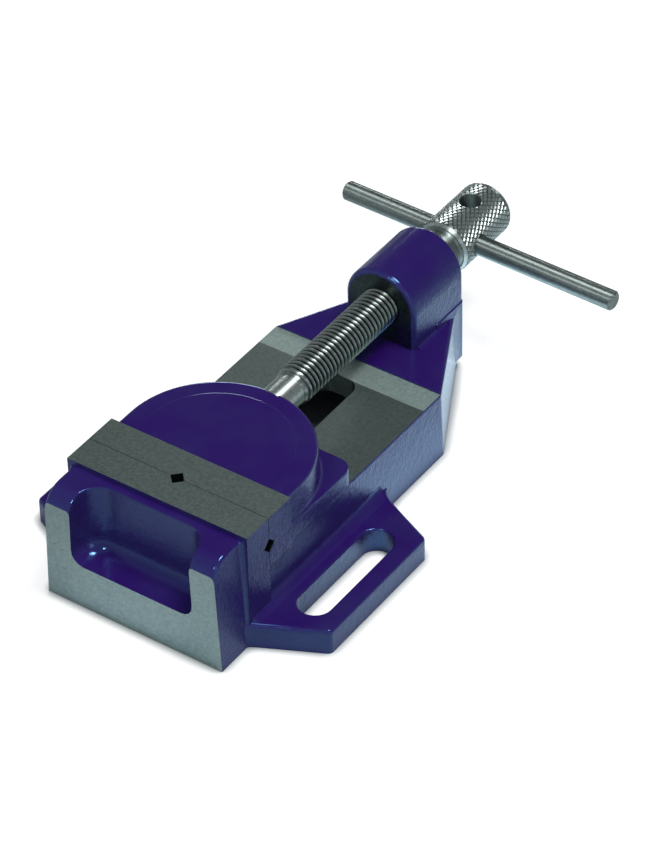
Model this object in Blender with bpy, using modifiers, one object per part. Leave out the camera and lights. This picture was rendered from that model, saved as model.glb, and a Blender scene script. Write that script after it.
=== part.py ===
"""Drill press vise: a slotted cast body, a sliding jaw, its screw and its tommy bar.

The origin is on the base, on the centre line, straight below the closed jaws' joint line.
X runs across the jaws, Y along the screw from the jaws to its head, and Z up from the base.
The jaws are closed. Sizes are in metres.
"""

import math

import bmesh
import bpy
from mathutils import Matrix, Vector

MM = 0.001

# Clearances
SEAT_GAP = 0.3 * MM
SLIDE_GAP = 0.3 * MM
OVERRUN = 5 * MM
FILLET_SINK = 0.2 * MM

# Jaws
JAW_WIDTH = 100 * MM
JAW_TOP = 64.4 * MM
FIXED_JAW_THICKNESS = 16.2 * MM
SLIDING_JAW_THICKNESS = 17.2 * MM
LEVEL_VEE_WIDTH = 7.8 * MM
LEVEL_VEE_HEIGHT = 48.3 * MM
UPRIGHT_VEE_WIDTH = 7.8 * MM
SLAB_FLARE_LENGTH = 4.5 * MM

# Body casting
BODY_WIDTH = 98.2 * MM
BODY_DRAFT = math.radians(2.2)
BODY_EDGE_RADIUS = 2 * MM
DECK_HEIGHT = 36.6 * MM
BED_CUT = 0.8 * MM
BED_LENGTH = 142.4 * MM
BED_SLOT_WIDTH = 23.2 * MM
BED_SLOT_START = 6.4 * MM
BED_SLOT_END = 128.4 * MM
BED_SLOT_RADIUS = 7 * MM
TAPER_CORNER_RADIUS = 4 * MM

# Front block and its pocket
FRONT_BLOCK_LENGTH = 21.4 * MM
FRONT_BLOCK_HEIGHT = 62 * MM
FRONT_BROW_RADIUS = 12 * MM
FRONT_FACE_CUT = 1.2 * MM
POCKET_WIDTH = 69.5 * MM
POCKET_FLOOR = 25 * MM
POCKET_DEPTH = 17.2 * MM
POCKET_CORNER_RADIUS = 12 * MM
POCKET_FLOOR_RADIUS = 7 * MM
POCKET_RIM_RADIUS = 1.5 * MM

# Rear deck, screw boss and its pillar
FOOT_END_WIDTH = 33.4 * MM
FOOT_END = 203.4 * MM
FOOT_END_RADIUS = 3 * MM
BOSS_RADIUS = 20 * MM
BOSS_LENGTH = 42 * MM
BOSS_EDGE_RADIUS = 2.5 * MM
BOSS_FILLET_RADIUS = 3 * MM
PILLAR_WIDTH = 41 * MM
PILLAR_LENGTH = 24 * MM
PILLAR_FOOT = 7 * MM
PILLAR_TOP = 41 * MM
PILLAR_OFFSET = 0.5 * MM
PILLAR_EDGE_RADIUS = 3 * MM

# Hollow underside
UNDERSIDE_WALL = 9 * MM
UNDERSIDE_FRONT_WALL = 5 * MM
UNDERSIDE_END_WALL = 14 * MM
UNDERSIDE_RADIUS = 6 * MM
UNDERSIDE_CEILING_RADIUS = 3 * MM
BED_THICKNESS = 12 * MM

# Lugs
LUG_SPREAD = 166.4 * MM
LUG_THICKNESS = 13.4 * MM
LUG_FRONT = -0.9 * MM
LUG_REAR = 76 * MM
LUG_FRONT_ROOT = -18 * MM
LUG_REAR_ROOT = 92 * MM
LUG_CORNER_RADIUS = 3 * MM
LUG_FRONT_ROOT_RADIUS = 5 * MM
LUG_REAR_ROOT_RADIUS = 12 * MM
LUG_EDGE_RADIUS = 2 * MM
LUG_ROOT_FILLET = 7 * MM
LUG_SLOT_WIDTH = 16.8 * MM
LUG_SLOT_SPACING = 131.8 * MM
LUG_SLOT_START = 3.4 * MM
LUG_SLOT_LENGTH = 66 * MM
LUG_SLOT_RIM_RADIUS = 1 * MM

# Sliding jaw behind its slab
PAD_RADIUS = 47.5 * MM
PAD_CENTRE = 27.9 * MM
PAD_HEIGHT = 63.6 * MM
PAD_EDGE_RADIUS = 2.6 * MM
PAD_CROWN_RADIUS = 37.4 * MM
PAD_CROWN_HEIGHT = 64.2 * MM
PAD_CROWN_EDGE = 0.7 * MM
PAD_FILLET_RADIUS = 4 * MM
FLANGE_WIDTH = 96.4 * MM
FLANGE_END = 71 * MM
FLANGE_TOP = 45 * MM
FLANGE_CORNER_RADIUS = 8 * MM
FLANGE_EDGE_RADIUS = 1.5 * MM
TONGUE_START = 8 * MM
TONGUE_LENGTH = 50 * MM
TONGUE_CORNER_RADIUS = 3 * MM

# Screw
SCREW_HEIGHT = 55.75 * MM
SCREW_RADIUS = 9.9 * MM
THREADS_PER_INCH = 9
INCH = 25.4 * MM
TURNS_TO_OPEN = 23
SCREW_REST_TURN = math.radians(1.25)
NOSE_RADIUS = 8.4 * MM
NOSE_LENGTH = 12.9 * MM
THREAD_RUN_OUT = 1.5 * MM
SPIGOT_RADIUS = 5 * MM
SPIGOT_LENGTH = 23.7 * MM
SPIGOT_CHAMFER = 1 * MM
GROOVE_RADIUS = 3.6 * MM
GROOVE_WIDTH = 4.2 * MM
GROOVE_SETBACK = 11.6 * MM
COLLAR_RADIUS = 13.2 * MM
COLLAR_GAP = 0.7 * MM
COLLAR_LENGTH = 6.4 * MM
COLLAR_CHAMFER = 0.6 * MM
NECK_RADIUS = 11.3 * MM
NECK_LENGTH = 4.3 * MM
NECK_SLOPE = 0.8 * MM
HEAD_RADIUS = 14.4 * MM
HEAD_LENGTH = 40.8 * MM
HEAD_FRONT_CHAMFER = 1.8 * MM
HEAD_END_CHAMFER = 1 * MM

# Tommy bar and the head's cross holes
BAR_RADIUS = 5 * MM
BAR_LENGTH = 154.8 * MM
BAR_OFFSET = 12.8 * MM
BAR_CHAMFER = 1 * MM
BAR_HOLE_SETBACK = 12.7 * MM
CROSS_HOLE_SPACING = 11.8 * MM

# Keeper plate and its screws
KEEPER_WIDTH = 48 * MM
KEEPER_LENGTH = 46 * MM
KEEPER_THICKNESS = 6 * MM
KEEPER_CORNER_RADIUS = 3 * MM
KEEPER_SCREW_RADIUS = 4 * MM
KEEPER_SCREW_SPACING = 24 * MM
KEEPER_SCREW_GRIP = 19 * MM
KEEPER_SCREW_HEAD = 13 * MM
KEEPER_SCREW_HEAD_HEIGHT = 5.3 * MM
KEEPER_SCREW_CHAMFER = 0.8 * MM
WASHER_RADIUS = 7 * MM
WASHER_THICKNESS = 1.6 * MM

# Retaining pins
PIN_RADIUS = 1.5 * MM
PIN_LENGTH = 24 * MM
PIN_CHAMFER = 0.4 * MM

# Facets
ROUND_SIDES = 40
SMALL_ROUND_SIDES = 20
ARC_STEP = math.radians(15)
PAD_SIDES = 72
HEX_SIDES = 6
PAD_ARC_STEP = 2 * math.pi / PAD_SIDES
SHARP_ANGLE = math.radians(35)
FLAT_ANGLE = math.radians(0.5)
MERGE_DISTANCE = 0.001 * MM
BROAD_SEGMENTS = 4
EDGE_SEGMENTS = 3
FINE_SEGMENTS = 2

# Places that follow from the sizes
LEAD = INCH / THREADS_PER_INCH
JAW_TRAVEL = TURNS_TO_OPEN * LEAD
BED_HEIGHT = DECK_HEIGHT - BED_CUT
SLIDE_FACE = BED_HEIGHT + SLIDE_GAP
BED_UNDERSIDE = BED_HEIGHT - BED_THICKNESS
FRONT_FACE = -(FIXED_JAW_THICKNESS + FRONT_BLOCK_LENGTH)
PAD_END = PAD_CENTRE + PAD_RADIUS
SHOULDER = PAD_END + SEAT_GAP
BOSS_END = FOOT_END + PILLAR_OFFSET
BOSS_START = BOSS_END - BOSS_LENGTH
COLLAR_START = BOSS_END + COLLAR_GAP
NECK_START = COLLAR_START + COLLAR_LENGTH
HEAD_START = NECK_START + NECK_LENGTH
HEAD_END = HEAD_START + HEAD_LENGTH
BAR_PLACE = HEAD_START + BAR_HOLE_SETBACK
CROSS_HOLE_PLACE = BAR_PLACE + CROSS_HOLE_SPACING
BAR_HOLE_RADIUS = BAR_RADIUS + SLIDE_GAP
PIN_PLACE = SHOULDER - GROOVE_SETBACK - GROOVE_WIDTH / 2
PIN_SPREAD = GROOVE_RADIUS + SEAT_GAP + PIN_RADIUS
KEEPER_TOP = BED_UNDERSIDE - SLIDE_GAP
KEEPER_BOTTOM = KEEPER_TOP - KEEPER_THICKNESS
KEEPER_CENTRE = TONGUE_START + TONGUE_LENGTH / 2
WASHER_BOTTOM = KEEPER_BOTTOM - SEAT_GAP - WASHER_THICKNESS
SCREW_HEAD_TOP = WASHER_BOTTOM - SEAT_GAP


# Scene, collections and materials

def clear_scene():
    """Remove every object that is in the file."""
    for item in list(bpy.data.objects):
        bpy.data.objects.remove(item, do_unlink=True)


def new_collection(name):
    """Collection linked to the scene."""
    collection = bpy.data.collections.new(name)
    bpy.context.scene.collection.children.link(collection)
    return collection


def new_material(name, colour, roughness, metallic):
    """Principled material with a plain colour."""
    material = bpy.data.materials.new(name)
    material.use_nodes = True
    shader = material.node_tree.nodes["Principled BSDF"]
    shader.inputs["Base Color"].default_value = (*colour, 1)
    shader.inputs["Roughness"].default_value = roughness
    shader.inputs["Metallic"].default_value = metallic
    return material


def new_smooth_group():
    """Modifier group that shades faces smooth and leaves the edges past the sharp angle hard."""
    group = bpy.data.node_groups.new("smooth_by_angle", 'GeometryNodeTree')
    group.is_modifier = True
    group.interface.new_socket("Geometry", in_out='INPUT', socket_type='NodeSocketGeometry')
    group.interface.new_socket("Geometry", in_out='OUTPUT', socket_type='NodeSocketGeometry')
    start = group.nodes.new('NodeGroupInput')
    smooth_faces = group.nodes.new('GeometryNodeSetShadeSmooth')
    hard_edges = group.nodes.new('GeometryNodeSetShadeSmooth')
    hard_edges.domain = 'EDGE'
    hard_edges.inputs["Shade Smooth"].default_value = False
    edge_angle = group.nodes.new('GeometryNodeInputMeshEdgeAngle')
    past_limit = group.nodes.new('FunctionNodeCompare')
    past_limit.inputs["B"].default_value = SHARP_ANGLE
    end = group.nodes.new('NodeGroupOutput')
    group.links.new(start.outputs["Geometry"], smooth_faces.inputs["Geometry"])
    group.links.new(smooth_faces.outputs["Geometry"], hard_edges.inputs["Geometry"])
    group.links.new(edge_angle.outputs["Unsigned Angle"], past_limit.inputs["A"])
    group.links.new(past_limit.outputs["Result"], hard_edges.inputs["Selection"])
    group.links.new(hard_edges.outputs["Geometry"], end.inputs["Geometry"])
    return group


# Outlines

def rounded_outline(corners, step=ARC_STEP):
    """Outline whose corners, given as (a, b, radius), are arcs of their radius."""
    outline = []
    count = len(corners)
    for index, (a, b, radius) in enumerate(corners):
        corner = Vector((a, b))
        if radius == 0:
            outline.append(corner)
            continue
        before = (Vector(corners[index - 1][:2]) - corner).normalized()
        after = (Vector(corners[(index + 1) % count][:2]) - corner).normalized()
        half_angle = before.angle(after) / 2
        centre = corner + (before + after).normalized() * (radius / math.sin(half_angle))
        arm = corner + before * (radius / math.tan(half_angle)) - centre
        sweep = math.copysign(math.pi - 2 * half_angle, -before.cross(after))
        steps = max(1, round(abs(sweep) / step))
        for number in range(steps + 1):
            turn = Matrix.Rotation(sweep * number / steps, 2)
            outline.append(centre + turn @ arm)
    return outline


def inset_corners(corners, inset):
    """Corners of an outline moved inward, with the radii of its arcs changed to match."""
    moved = []
    for index, (a, b, radius) in enumerate(corners):
        corner = Vector((a, b))
        before = (corner - Vector(corners[index - 1][:2])).normalized()
        after = (Vector(corners[(index + 1) % len(corners)][:2]) - corner).normalized()
        inward = before.orthogonal() + after.orthogonal()
        corner += inward * (inset / (1 + before.dot(after)))
        if radius > 0:
            radius -= math.copysign(inset, before.cross(after))
        moved.append((corner.x, corner.y, radius))
    return moved


def mirrored(half):
    """Whole run of corners from its right half, listed from front to rear."""
    left = [(-a, b, radius) for a, b, radius in reversed(half)]
    return list(half) + left


def arc_points(centre_a, centre_b, radius, start, end, step=ARC_STEP):
    """Points on an arc, from one angle to another."""
    steps = max(1, round(abs(end - start) / step))
    points = []
    for number in range(steps + 1):
        angle = start + (end - start) * number / steps
        points.append((centre_a + radius * math.cos(angle), centre_b + radius * math.sin(angle)))
    return points


# Solids

PLANES = {
    "XY": Matrix(((1, 0, 0), (0, 1, 0), (0, 0, 1))),
    "YZ": Matrix(((0, 0, 1), (1, 0, 0), (0, 1, 0))),
    "XZ": Matrix(((1, 0, 0), (0, 0, -1), (0, 1, 0))),
}


def clean_mesh(mesh):
    """Weld loose caps, join the triangles of flat faces and turn the faces outward."""
    edit = bmesh.new()
    edit.from_mesh(mesh)
    bmesh.ops.remove_doubles(edit, verts=edit.verts, dist=MERGE_DISTANCE)
    bmesh.ops.dissolve_limit(edit, angle_limit=FLAT_ANGLE, verts=edit.verts, edges=edit.edges)
    bmesh.ops.recalc_face_normals(edit, faces=edit.faces)
    edit.to_mesh(mesh)
    edit.free()


def weld(mesh):
    """Weld points that a cut left side by side."""
    edit = bmesh.new()
    edit.from_mesh(mesh)
    bmesh.ops.remove_doubles(edit, verts=edit.verts, dist=MERGE_DISTANCE)
    edit.to_mesh(mesh)
    edit.free()


def evaluated_mesh(item):
    """Mesh of an object with its modifiers, as a new mesh."""
    bpy.context.view_layer.update()
    graph = bpy.context.evaluated_depsgraph_get()
    return bpy.data.meshes.new_from_object(item.evaluated_get(graph))


def solid_from_outline(name, outline, low, high, plane="XY"):
    """Solid of a flat outline, from low to high along the normal of its plane."""
    curve = bpy.data.curves.new(name + "_outline", 'CURVE')
    curve.dimensions = '2D'
    curve.fill_mode = 'BOTH'
    curve.extrude = (high - low) / 2
    spline = curve.splines.new('POLY')
    spline.points.add(len(outline) - 1)
    for point, (a, b) in zip(spline.points, outline):
        point.co = (a, b, 0, 1)
    spline.use_cyclic_u = True
    drawn = bpy.data.objects.new(name + "_outline", curve)
    bpy.context.scene.collection.objects.link(drawn)
    mesh = evaluated_mesh(drawn)
    mesh.name = name
    bpy.data.objects.remove(drawn, do_unlink=True)
    bpy.data.curves.remove(curve)
    turn = PLANES[plane]
    normal = Vector([abs(value) for value in turn.col[2]])
    mesh.transform(Matrix.Translation(normal * ((low + high) / 2)) @ turn.to_4x4())
    clean_mesh(mesh)
    solid = bpy.data.objects.new(name, mesh)
    bpy.context.scene.collection.objects.link(solid)
    return solid


def lofted(name, rings):
    """Solid through level outlines of equal point count, given as (height, outline) from below."""
    mesh = bpy.data.meshes.new(name)
    edit = bmesh.new()
    loops = [[edit.verts.new((a, b, height)) for a, b in outline] for height, outline in rings]
    for lower, upper in zip(loops, loops[1:]):
        for index in range(len(lower)):
            edit.faces.new((lower[index - 1], lower[index], upper[index], upper[index - 1]))
    edit.faces.new(loops[0])
    edit.faces.new(loops[-1])
    bmesh.ops.recalc_face_normals(edit, faces=edit.faces)
    edit.to_mesh(mesh)
    edit.free()
    solid = bpy.data.objects.new(name, mesh)
    bpy.context.scene.collection.objects.link(solid)
    return solid


def box(name, low, high):
    """Box between two corners, from a unit cube."""
    mesh = bpy.data.meshes.new(name)
    edit = bmesh.new()
    size = Vector(high) - Vector(low)
    middle = (Vector(high) + Vector(low)) / 2
    place = Matrix.Translation(middle) @ Matrix.Diagonal(size).to_4x4()
    bmesh.ops.create_cube(edit, size=1, matrix=place)
    edit.to_mesh(mesh)
    edit.free()
    solid = bpy.data.objects.new(name, mesh)
    bpy.context.scene.collection.objects.link(solid)
    return solid


def turned(name, profile, sides, axis="Z"):
    """Solid turned from (height, radius) points, listed from its bottom to its top."""
    mesh = bpy.data.meshes.new(name + "_profile")
    edit = bmesh.new()
    points = [(profile[-1][0], 0)] + list(reversed(profile)) + [(profile[0][0], 0)]
    verts = [edit.verts.new((radius, 0, height)) for height, radius in points]
    for first, second in zip(verts, verts[1:]):
        edit.edges.new((first, second))
    edit.to_mesh(mesh)
    edit.free()
    drawn = bpy.data.objects.new(name + "_profile", mesh)
    bpy.context.scene.collection.objects.link(drawn)
    screw = drawn.modifiers.new("turn", 'SCREW')
    screw.steps = sides
    screw.render_steps = sides
    screw.use_merge_vertices = True
    screw.merge_threshold = MERGE_DISTANCE
    screw.use_smooth_shade = False
    solid_mesh = evaluated_mesh(drawn)
    solid_mesh.name = name
    bpy.data.objects.remove(drawn, do_unlink=True)
    bpy.data.meshes.remove(mesh)
    if axis == "Y":
        solid_mesh.transform(Matrix.Rotation(math.radians(-90), 4, 'X'))
    if axis == "X":
        solid_mesh.transform(Matrix.Rotation(math.radians(90), 4, 'Y'))
    clean_mesh(solid_mesh)
    solid = bpy.data.objects.new(name, solid_mesh)
    bpy.context.scene.collection.objects.link(solid)
    return solid


def cylinder(name, radius, low, high, sides, axis="Z"):
    """Plain cylinder along an axis through the origin."""
    return turned(name, [(low, radius), (high, radius)], sides, axis)


def shifted(solid, x, y, z):
    """Move a solid's mesh."""
    solid.data.transform(Matrix.Translation((x, y, z)))
    return solid


def mirror_to(solid, side):
    """Leave a solid on the right, or with -1 mirror it to the left."""
    if side < 0:
        solid.data.transform(Matrix.Diagonal((-1, 1, 1, 1)))
        solid.data.flip_normals()
    return solid


def round_edges(solid, radius, segments, chosen):
    """Round the edges that pass the test."""
    edit = bmesh.new()
    edit.from_mesh(solid.data)
    edges = [edge for edge in edit.edges if chosen(edge)]
    bmesh.ops.bevel(
        edit, geom=edges, offset=radius, offset_type='OFFSET', segments=segments,
        profile=0.5, affect='EDGES', clamp_overlap=True)
    edit.to_mesh(solid.data)
    edit.free()
    return solid


def ends_of(edge):
    """Places of an edge's two ends."""
    return edge.verts[0].co, edge.verts[1].co


def in_plane(axis, place=None):
    """Test for edges that stay in one plane square to an axis (0 to 2), at a place if one is given."""
    def lies_in_plane(edge):
        first, second = (end[axis] for end in ends_of(edge))
        at_place = place is None or abs(first - place) < MERGE_DISTANCE
        return at_place and abs(first - second) < MERGE_DISTANCE
    return lies_in_plane


def at_height(height):
    """Test for edges that lie level at a height."""
    return in_plane(2, height)


def reaches_past(edge, axis, place):
    """Whether an edge has an end past a place along an axis (0 to 2)."""
    return max(end[axis] for end in ends_of(edge)) > place + MERGE_DISTANCE


def combine(solid, other, operation):
    """Join, cut or intersect a solid with another, which is used up."""
    modifier = solid.modifiers.new(other.name, 'BOOLEAN')
    modifier.operation = operation
    modifier.solver = 'EXACT'
    modifier.object = other
    mesh = evaluated_mesh(solid)
    solid.modifiers.clear()
    old = solid.data
    solid.data = mesh
    bpy.data.meshes.remove(old)
    bpy.data.objects.remove(other, do_unlink=True)
    weld(mesh)
    return solid


def join(solid, *others):
    """Join solids into the first."""
    for other in others:
        combine(solid, other, 'UNION')
    return solid


def parent_place(parent):
    """World place of an empty that may itself hang on another."""
    place = Vector((0, 0, 0))
    while parent is not None:
        place += parent.location
        parent = parent.parent
    return place


def set_origin(item, place, parent=None):
    """Put an object's origin at a place, and hang it on an empty if it has one."""
    item.data.transform(Matrix.Translation(-Vector(place)))
    item.parent = parent
    item.location = Vector(place) - parent_place(parent)


def cut(solid, cutter, cutters, parent=None):
    """Cut a solid by a cutter that stays in the cutters' collection and moves with the piece."""
    for collection in list(cutter.users_collection):
        collection.objects.unlink(cutter)
    cutters.objects.link(cutter)
    cutter.hide_render = True
    cutter.display_type = 'WIRE'
    modifier = solid.modifiers.new(cutter.name, 'BOOLEAN')
    modifier.operation = 'DIFFERENCE'
    modifier.solver = 'EXACT'
    modifier.object = cutter
    set_origin(cutter, parent_place(parent), parent)


def finish_node(solid, name, material, collection, place, parent=None):
    """Name a piece, give it its material and shading, and put its origin at its own place."""
    solid.name = name
    solid.data.name = name
    solid.data.materials.clear()
    solid.data.materials.append(material)
    shading = solid.modifiers.new("smooth_by_angle", 'NODES')
    shading.node_group = bpy.data.node_groups["smooth_by_angle"]
    for old in list(solid.users_collection):
        old.objects.unlink(solid)
    collection.objects.link(solid)
    set_origin(solid, place, parent)
    return solid


def new_empty(name, place, collection, parent=None):
    """Empty on a joint's axis."""
    empty = bpy.data.objects.new(name, None)
    empty.empty_display_size = BOSS_RADIUS
    collection.objects.link(empty)
    empty.parent = parent
    empty.location = Vector(place) - parent_place(parent)
    return empty


# Shapes that the body casting is joined from

def body_half_width(height):
    """Half width of the drafted body at a height."""
    return BODY_WIDTH / 2 - height * math.tan(BODY_DRAFT)


def draft_sides(solid):
    """Lean the sides inward by the casting's draft."""
    for vertex in solid.data.vertices:
        vertex.co.x *= body_half_width(vertex.co.z) / body_half_width(0)
    return solid


def foot_corners():
    """Right half of the body's plan: straight sides, then the taper to the boss's foot."""
    return [
        (BODY_WIDTH / 2, -FIXED_JAW_THICKNESS / 2, 0),
        (BODY_WIDTH / 2, BED_LENGTH, TAPER_CORNER_RADIUS),
        (FOOT_END_WIDTH / 2, FOOT_END, FOOT_END_RADIUS),
    ]


def make_foot():
    """Long base block that carries the bed and the rear deck."""
    foot = solid_from_outline("foot", rounded_outline(mirrored(foot_corners())), 0, DECK_HEIGHT)
    on_top = at_height(DECK_HEIGHT)
    round_edges(
        foot, BODY_EDGE_RADIUS, EDGE_SEGMENTS,
        lambda edge: on_top(edge) and reaches_past(edge, 1, -FIXED_JAW_THICKNESS / 2))
    return draft_sides(foot)


def pocket_solid():
    """Room of the pocket in the front block, open to the front and at the top."""
    half = POCKET_WIDTH / 2
    corners = [
        (half, FRONT_FACE - OVERRUN, 0),
        (half, FRONT_FACE + POCKET_DEPTH, POCKET_CORNER_RADIUS),
    ]
    top = JAW_TOP + OVERRUN
    room = solid_from_outline("pocket", rounded_outline(mirrored(corners)), POCKET_FLOOR, top)
    on_floor = at_height(POCKET_FLOOR)
    return round_edges(
        room, POCKET_FLOOR_RADIUS, BROAD_SEGMENTS,
        lambda edge: on_floor(edge) and reaches_past(edge, 1, FRONT_FACE - OVERRUN))


def on_pocket_rim(edge):
    """Test for edges where the pocket's walls meet the brow or the top of the front block."""
    rises = sorted(abs(face.normal.z) for face in edge.link_faces)
    inside = max(abs(end.x) for end in ends_of(edge)) < POCKET_WIDTH / 2 + MERGE_DISTANCE
    above_floor = min(end.z for end in ends_of(edge)) > POCKET_FLOOR + POCKET_FLOOR_RADIUS
    wall_and_top = rises[0] < FLAT_ANGLE and rises[1] > FLAT_ANGLE
    return inside and above_floor and wall_and_top and reaches_past(edge, 1, FRONT_FACE)


def make_front_block():
    """Block in front of the fixed jaw: a rounded brow, a pocket and the flat machined face."""
    brow_y = FRONT_FACE - FRONT_FACE_CUT + FRONT_BROW_RADIUS
    brow_z = FRONT_BLOCK_HEIGHT - FRONT_BROW_RADIUS
    start = math.pi - math.acos((FRONT_BROW_RADIUS - FRONT_FACE_CUT) / FRONT_BROW_RADIUS)
    brow = arc_points(brow_y, brow_z, FRONT_BROW_RADIUS, start, math.pi / 2)
    rear = -FIXED_JAW_THICKNESS / 2
    profile = [(rear, 0), (rear, FRONT_BLOCK_HEIGHT)] + list(reversed(brow)) + [(FRONT_FACE, 0)]
    half = BODY_WIDTH / 2
    block = solid_from_outline("front_block", profile, -half, half, "YZ")
    on_side = in_plane(0)
    round_edges(
        block, BODY_EDGE_RADIUS, EDGE_SEGMENTS,
        lambda edge: on_side(edge) and all(end.z > brow_z for end in ends_of(edge)))
    combine(block, pocket_solid(), 'DIFFERENCE')
    round_edges(block, POCKET_RIM_RADIUS, FINE_SEGMENTS, on_pocket_rim)
    return draft_sides(block)


def slab_step(height):
    """How far the jaw slab's side stands out from the body's drafted side at a height."""
    return JAW_WIDTH / 2 - body_half_width(height)


def flare_outline(way, face, step, pull):
    """Plan of a flare from a slab's face, with its outside pulled in."""
    half = JAW_WIDTH / 2 - FILLET_SINK - pull
    start = face - way * FILLET_SINK
    inside = half - step - OVERRUN
    outline = []
    for along, out in arc_points(0, 0, 1, 0, math.pi / 2):
        outline.append((half - step * along, start + way * SLAB_FLARE_LENGTH * (1 - out)))
    return outline + [
        (half, face - way * OVERRUN),
        (inside, face - way * OVERRUN),
        (inside, start + way * SLAB_FLARE_LENGTH),
    ]


def make_flare(side, way, face, low, high, step_at, rounding):
    """Concave run-out from a jaw slab's side to the casting's side, forward or to the rear.

    face is the slab's face that it starts from, way is -1 toward the front, and step_at tells how
    far the slab stands out at a height. Its top is rounded as far as the rounding goes.
    """
    rings = [(low, flare_outline(way, face, step_at(low), 0))]
    turn = arc_points(rounding, high - rounding, rounding, math.pi, math.pi / 2, ARC_STEP * 2)
    for pull, up in turn:
        rings.append((up, flare_outline(way, face, step_at(up), pull)))
    return mirror_to(lofted("slab_flare", rings), side)


def lug_corners(tip_radius, depth):
    """Plan of the right lug, which runs on into the body's side by a depth."""
    root = body_half_width(LUG_THICKNESS) - SEAT_GAP
    tip = LUG_SPREAD / 2
    front_end = LUG_FRONT_ROOT - LUG_FRONT_ROOT_RADIUS - depth
    rear_end = LUG_REAR_ROOT + LUG_REAR_ROOT_RADIUS + depth
    return [
        (root - depth, front_end, 0),
        (root, front_end, 0),
        (root, LUG_FRONT_ROOT, LUG_FRONT_ROOT_RADIUS),
        (tip, LUG_FRONT, tip_radius),
        (tip, LUG_REAR, tip_radius),
        (root, LUG_REAR_ROOT, LUG_REAR_ROOT_RADIUS),
        (root, rear_end, 0),
        (root - depth, rear_end, 0),
    ]


def lug_fillet_bounds():
    """Room that the fillet at the lug's root stays in: the lug's own rounded edge, run on upward."""
    edge = LUG_EDGE_RADIUS
    corners = lug_corners(0, BODY_WIDTH / 2)
    steps = [(0, LUG_THICKNESS / 4)]
    steps += arc_points(edge, LUG_THICKNESS - edge, edge, math.pi, math.pi / 2, ARC_STEP * 2)
    steps.append((edge + LUG_ROOT_FILLET / 4, LUG_THICKNESS + LUG_ROOT_FILLET))
    rings = []
    for inset, height in steps:
        rings.append((height, rounded_outline(inset_corners(corners, FILLET_SINK + inset))))
    return lofted("lug_bounds", rings)


def fillet_profile(wall, floor, radius, depth):
    """Concave fillet between a wall and a floor, with its ends and back sunk into both."""
    right = wall + radius - FILLET_SINK
    top = floor + radius - FILLET_SINK
    arc = arc_points(right, top, radius, math.pi * 3 / 2, math.pi)
    return [(wall - depth, floor - depth), (right, floor - depth)] + arc + [(wall - depth, top)]


def lug_slot_outline(growth):
    """Right lug's slot with round ends, grown outward all round."""
    middle = LUG_SLOT_SPACING / 2
    half = LUG_SLOT_WIDTH / 2
    rear = LUG_SLOT_START + LUG_SLOT_LENGTH - half
    front = LUG_SLOT_START + half
    outline = arc_points(middle, rear, half + growth, 0, math.pi)
    return outline + arc_points(middle, front, half + growth, math.pi, 2 * math.pi)


def lug_slot_cutter():
    """Room of the right lug's slot, which widens over its rounded rim."""
    rim = LUG_SLOT_RIM_RADIUS
    rings = [(-OVERRUN, lug_slot_outline(0))]
    turn = arc_points(-rim, LUG_THICKNESS - rim, rim, 0, math.pi / 2, ARC_STEP * 2)
    for across, up in turn:
        rings.append((up, lug_slot_outline(-across)))
    rings.append((LUG_THICKNESS + OVERRUN, lug_slot_outline(rim)))
    return lofted("lug_slot", rings)


def make_lug(side):
    """One lug with the fillet at its root, for the right side or, with -1, the left."""
    outline = rounded_outline(lug_corners(LUG_CORNER_RADIUS, OVERRUN))
    lug = solid_from_outline("lug", outline, 0, LUG_THICKNESS)
    round_edges(lug, LUG_EDGE_RADIUS, EDGE_SEGMENTS, at_height(LUG_THICKNESS))
    combine(lug, lug_slot_cutter(), 'DIFFERENCE')
    wall = body_half_width(LUG_THICKNESS + LUG_ROOT_FILLET)
    depth = LUG_THICKNESS / 2
    profile = fillet_profile(wall, LUG_THICKNESS, LUG_ROOT_FILLET, depth)
    front = LUG_FRONT_ROOT - LUG_FRONT_ROOT_RADIUS
    strip = solid_from_outline("lug_fillet", profile, front, LUG_REAR_ROOT, "XZ")
    combine(strip, lug_fillet_bounds(), 'INTERSECT')
    join(lug, strip)
    return mirror_to(lug, side)


def make_boss():
    """Arched boss that holds the screw's thread."""
    sill = DECK_HEIGHT - OVERRUN
    arch = [(-BOSS_RADIUS, sill), (BOSS_RADIUS, sill)]
    arch += arc_points(0, SCREW_HEIGHT, BOSS_RADIUS, 0, math.pi, ARC_STEP / 2)
    boss = solid_from_outline("boss", arch, BOSS_START, BOSS_END, "XZ")
    on_end = in_plane(1)
    return round_edges(
        boss, BOSS_EDGE_RADIUS, EDGE_SEGMENTS,
        lambda edge: on_end(edge) and reaches_past(edge, 2, DECK_HEIGHT))


def make_boss_fillet(side):
    """Fillet where the boss's side, right or with -1 left, meets the deck."""
    profile = fillet_profile(BOSS_RADIUS, DECK_HEIGHT, BOSS_FILLET_RADIUS, BOSS_FILLET_RADIUS)
    reach = BOSS_RADIUS + BOSS_FILLET_RADIUS + BODY_EDGE_RADIUS
    taper = (BODY_WIDTH - FOOT_END_WIDTH) / 2 / (FOOT_END - BED_LENGTH)
    end = FOOT_END - (reach - FOOT_END_WIDTH / 2) / taper
    outline = [(side * a, b) for a, b in profile]
    return solid_from_outline("boss_fillet", outline, BOSS_START + BOSS_EDGE_RADIUS, end, "XZ")


def make_pillar():
    """Upright wall that closes the rear end below the boss."""
    half = PILLAR_WIDTH / 2
    end = FOOT_END + 2 * PILLAR_OFFSET
    corners = [
        (half, end - PILLAR_LENGTH, 0),
        (half, end, PILLAR_EDGE_RADIUS),
    ]
    outline = rounded_outline(mirrored(corners))
    pillar = solid_from_outline("pillar", outline, PILLAR_FOOT, PILLAR_TOP)
    return round_edges(pillar, PILLAR_OFFSET, 1, at_height(PILLAR_TOP))


# Cutters of the body casting

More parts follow.
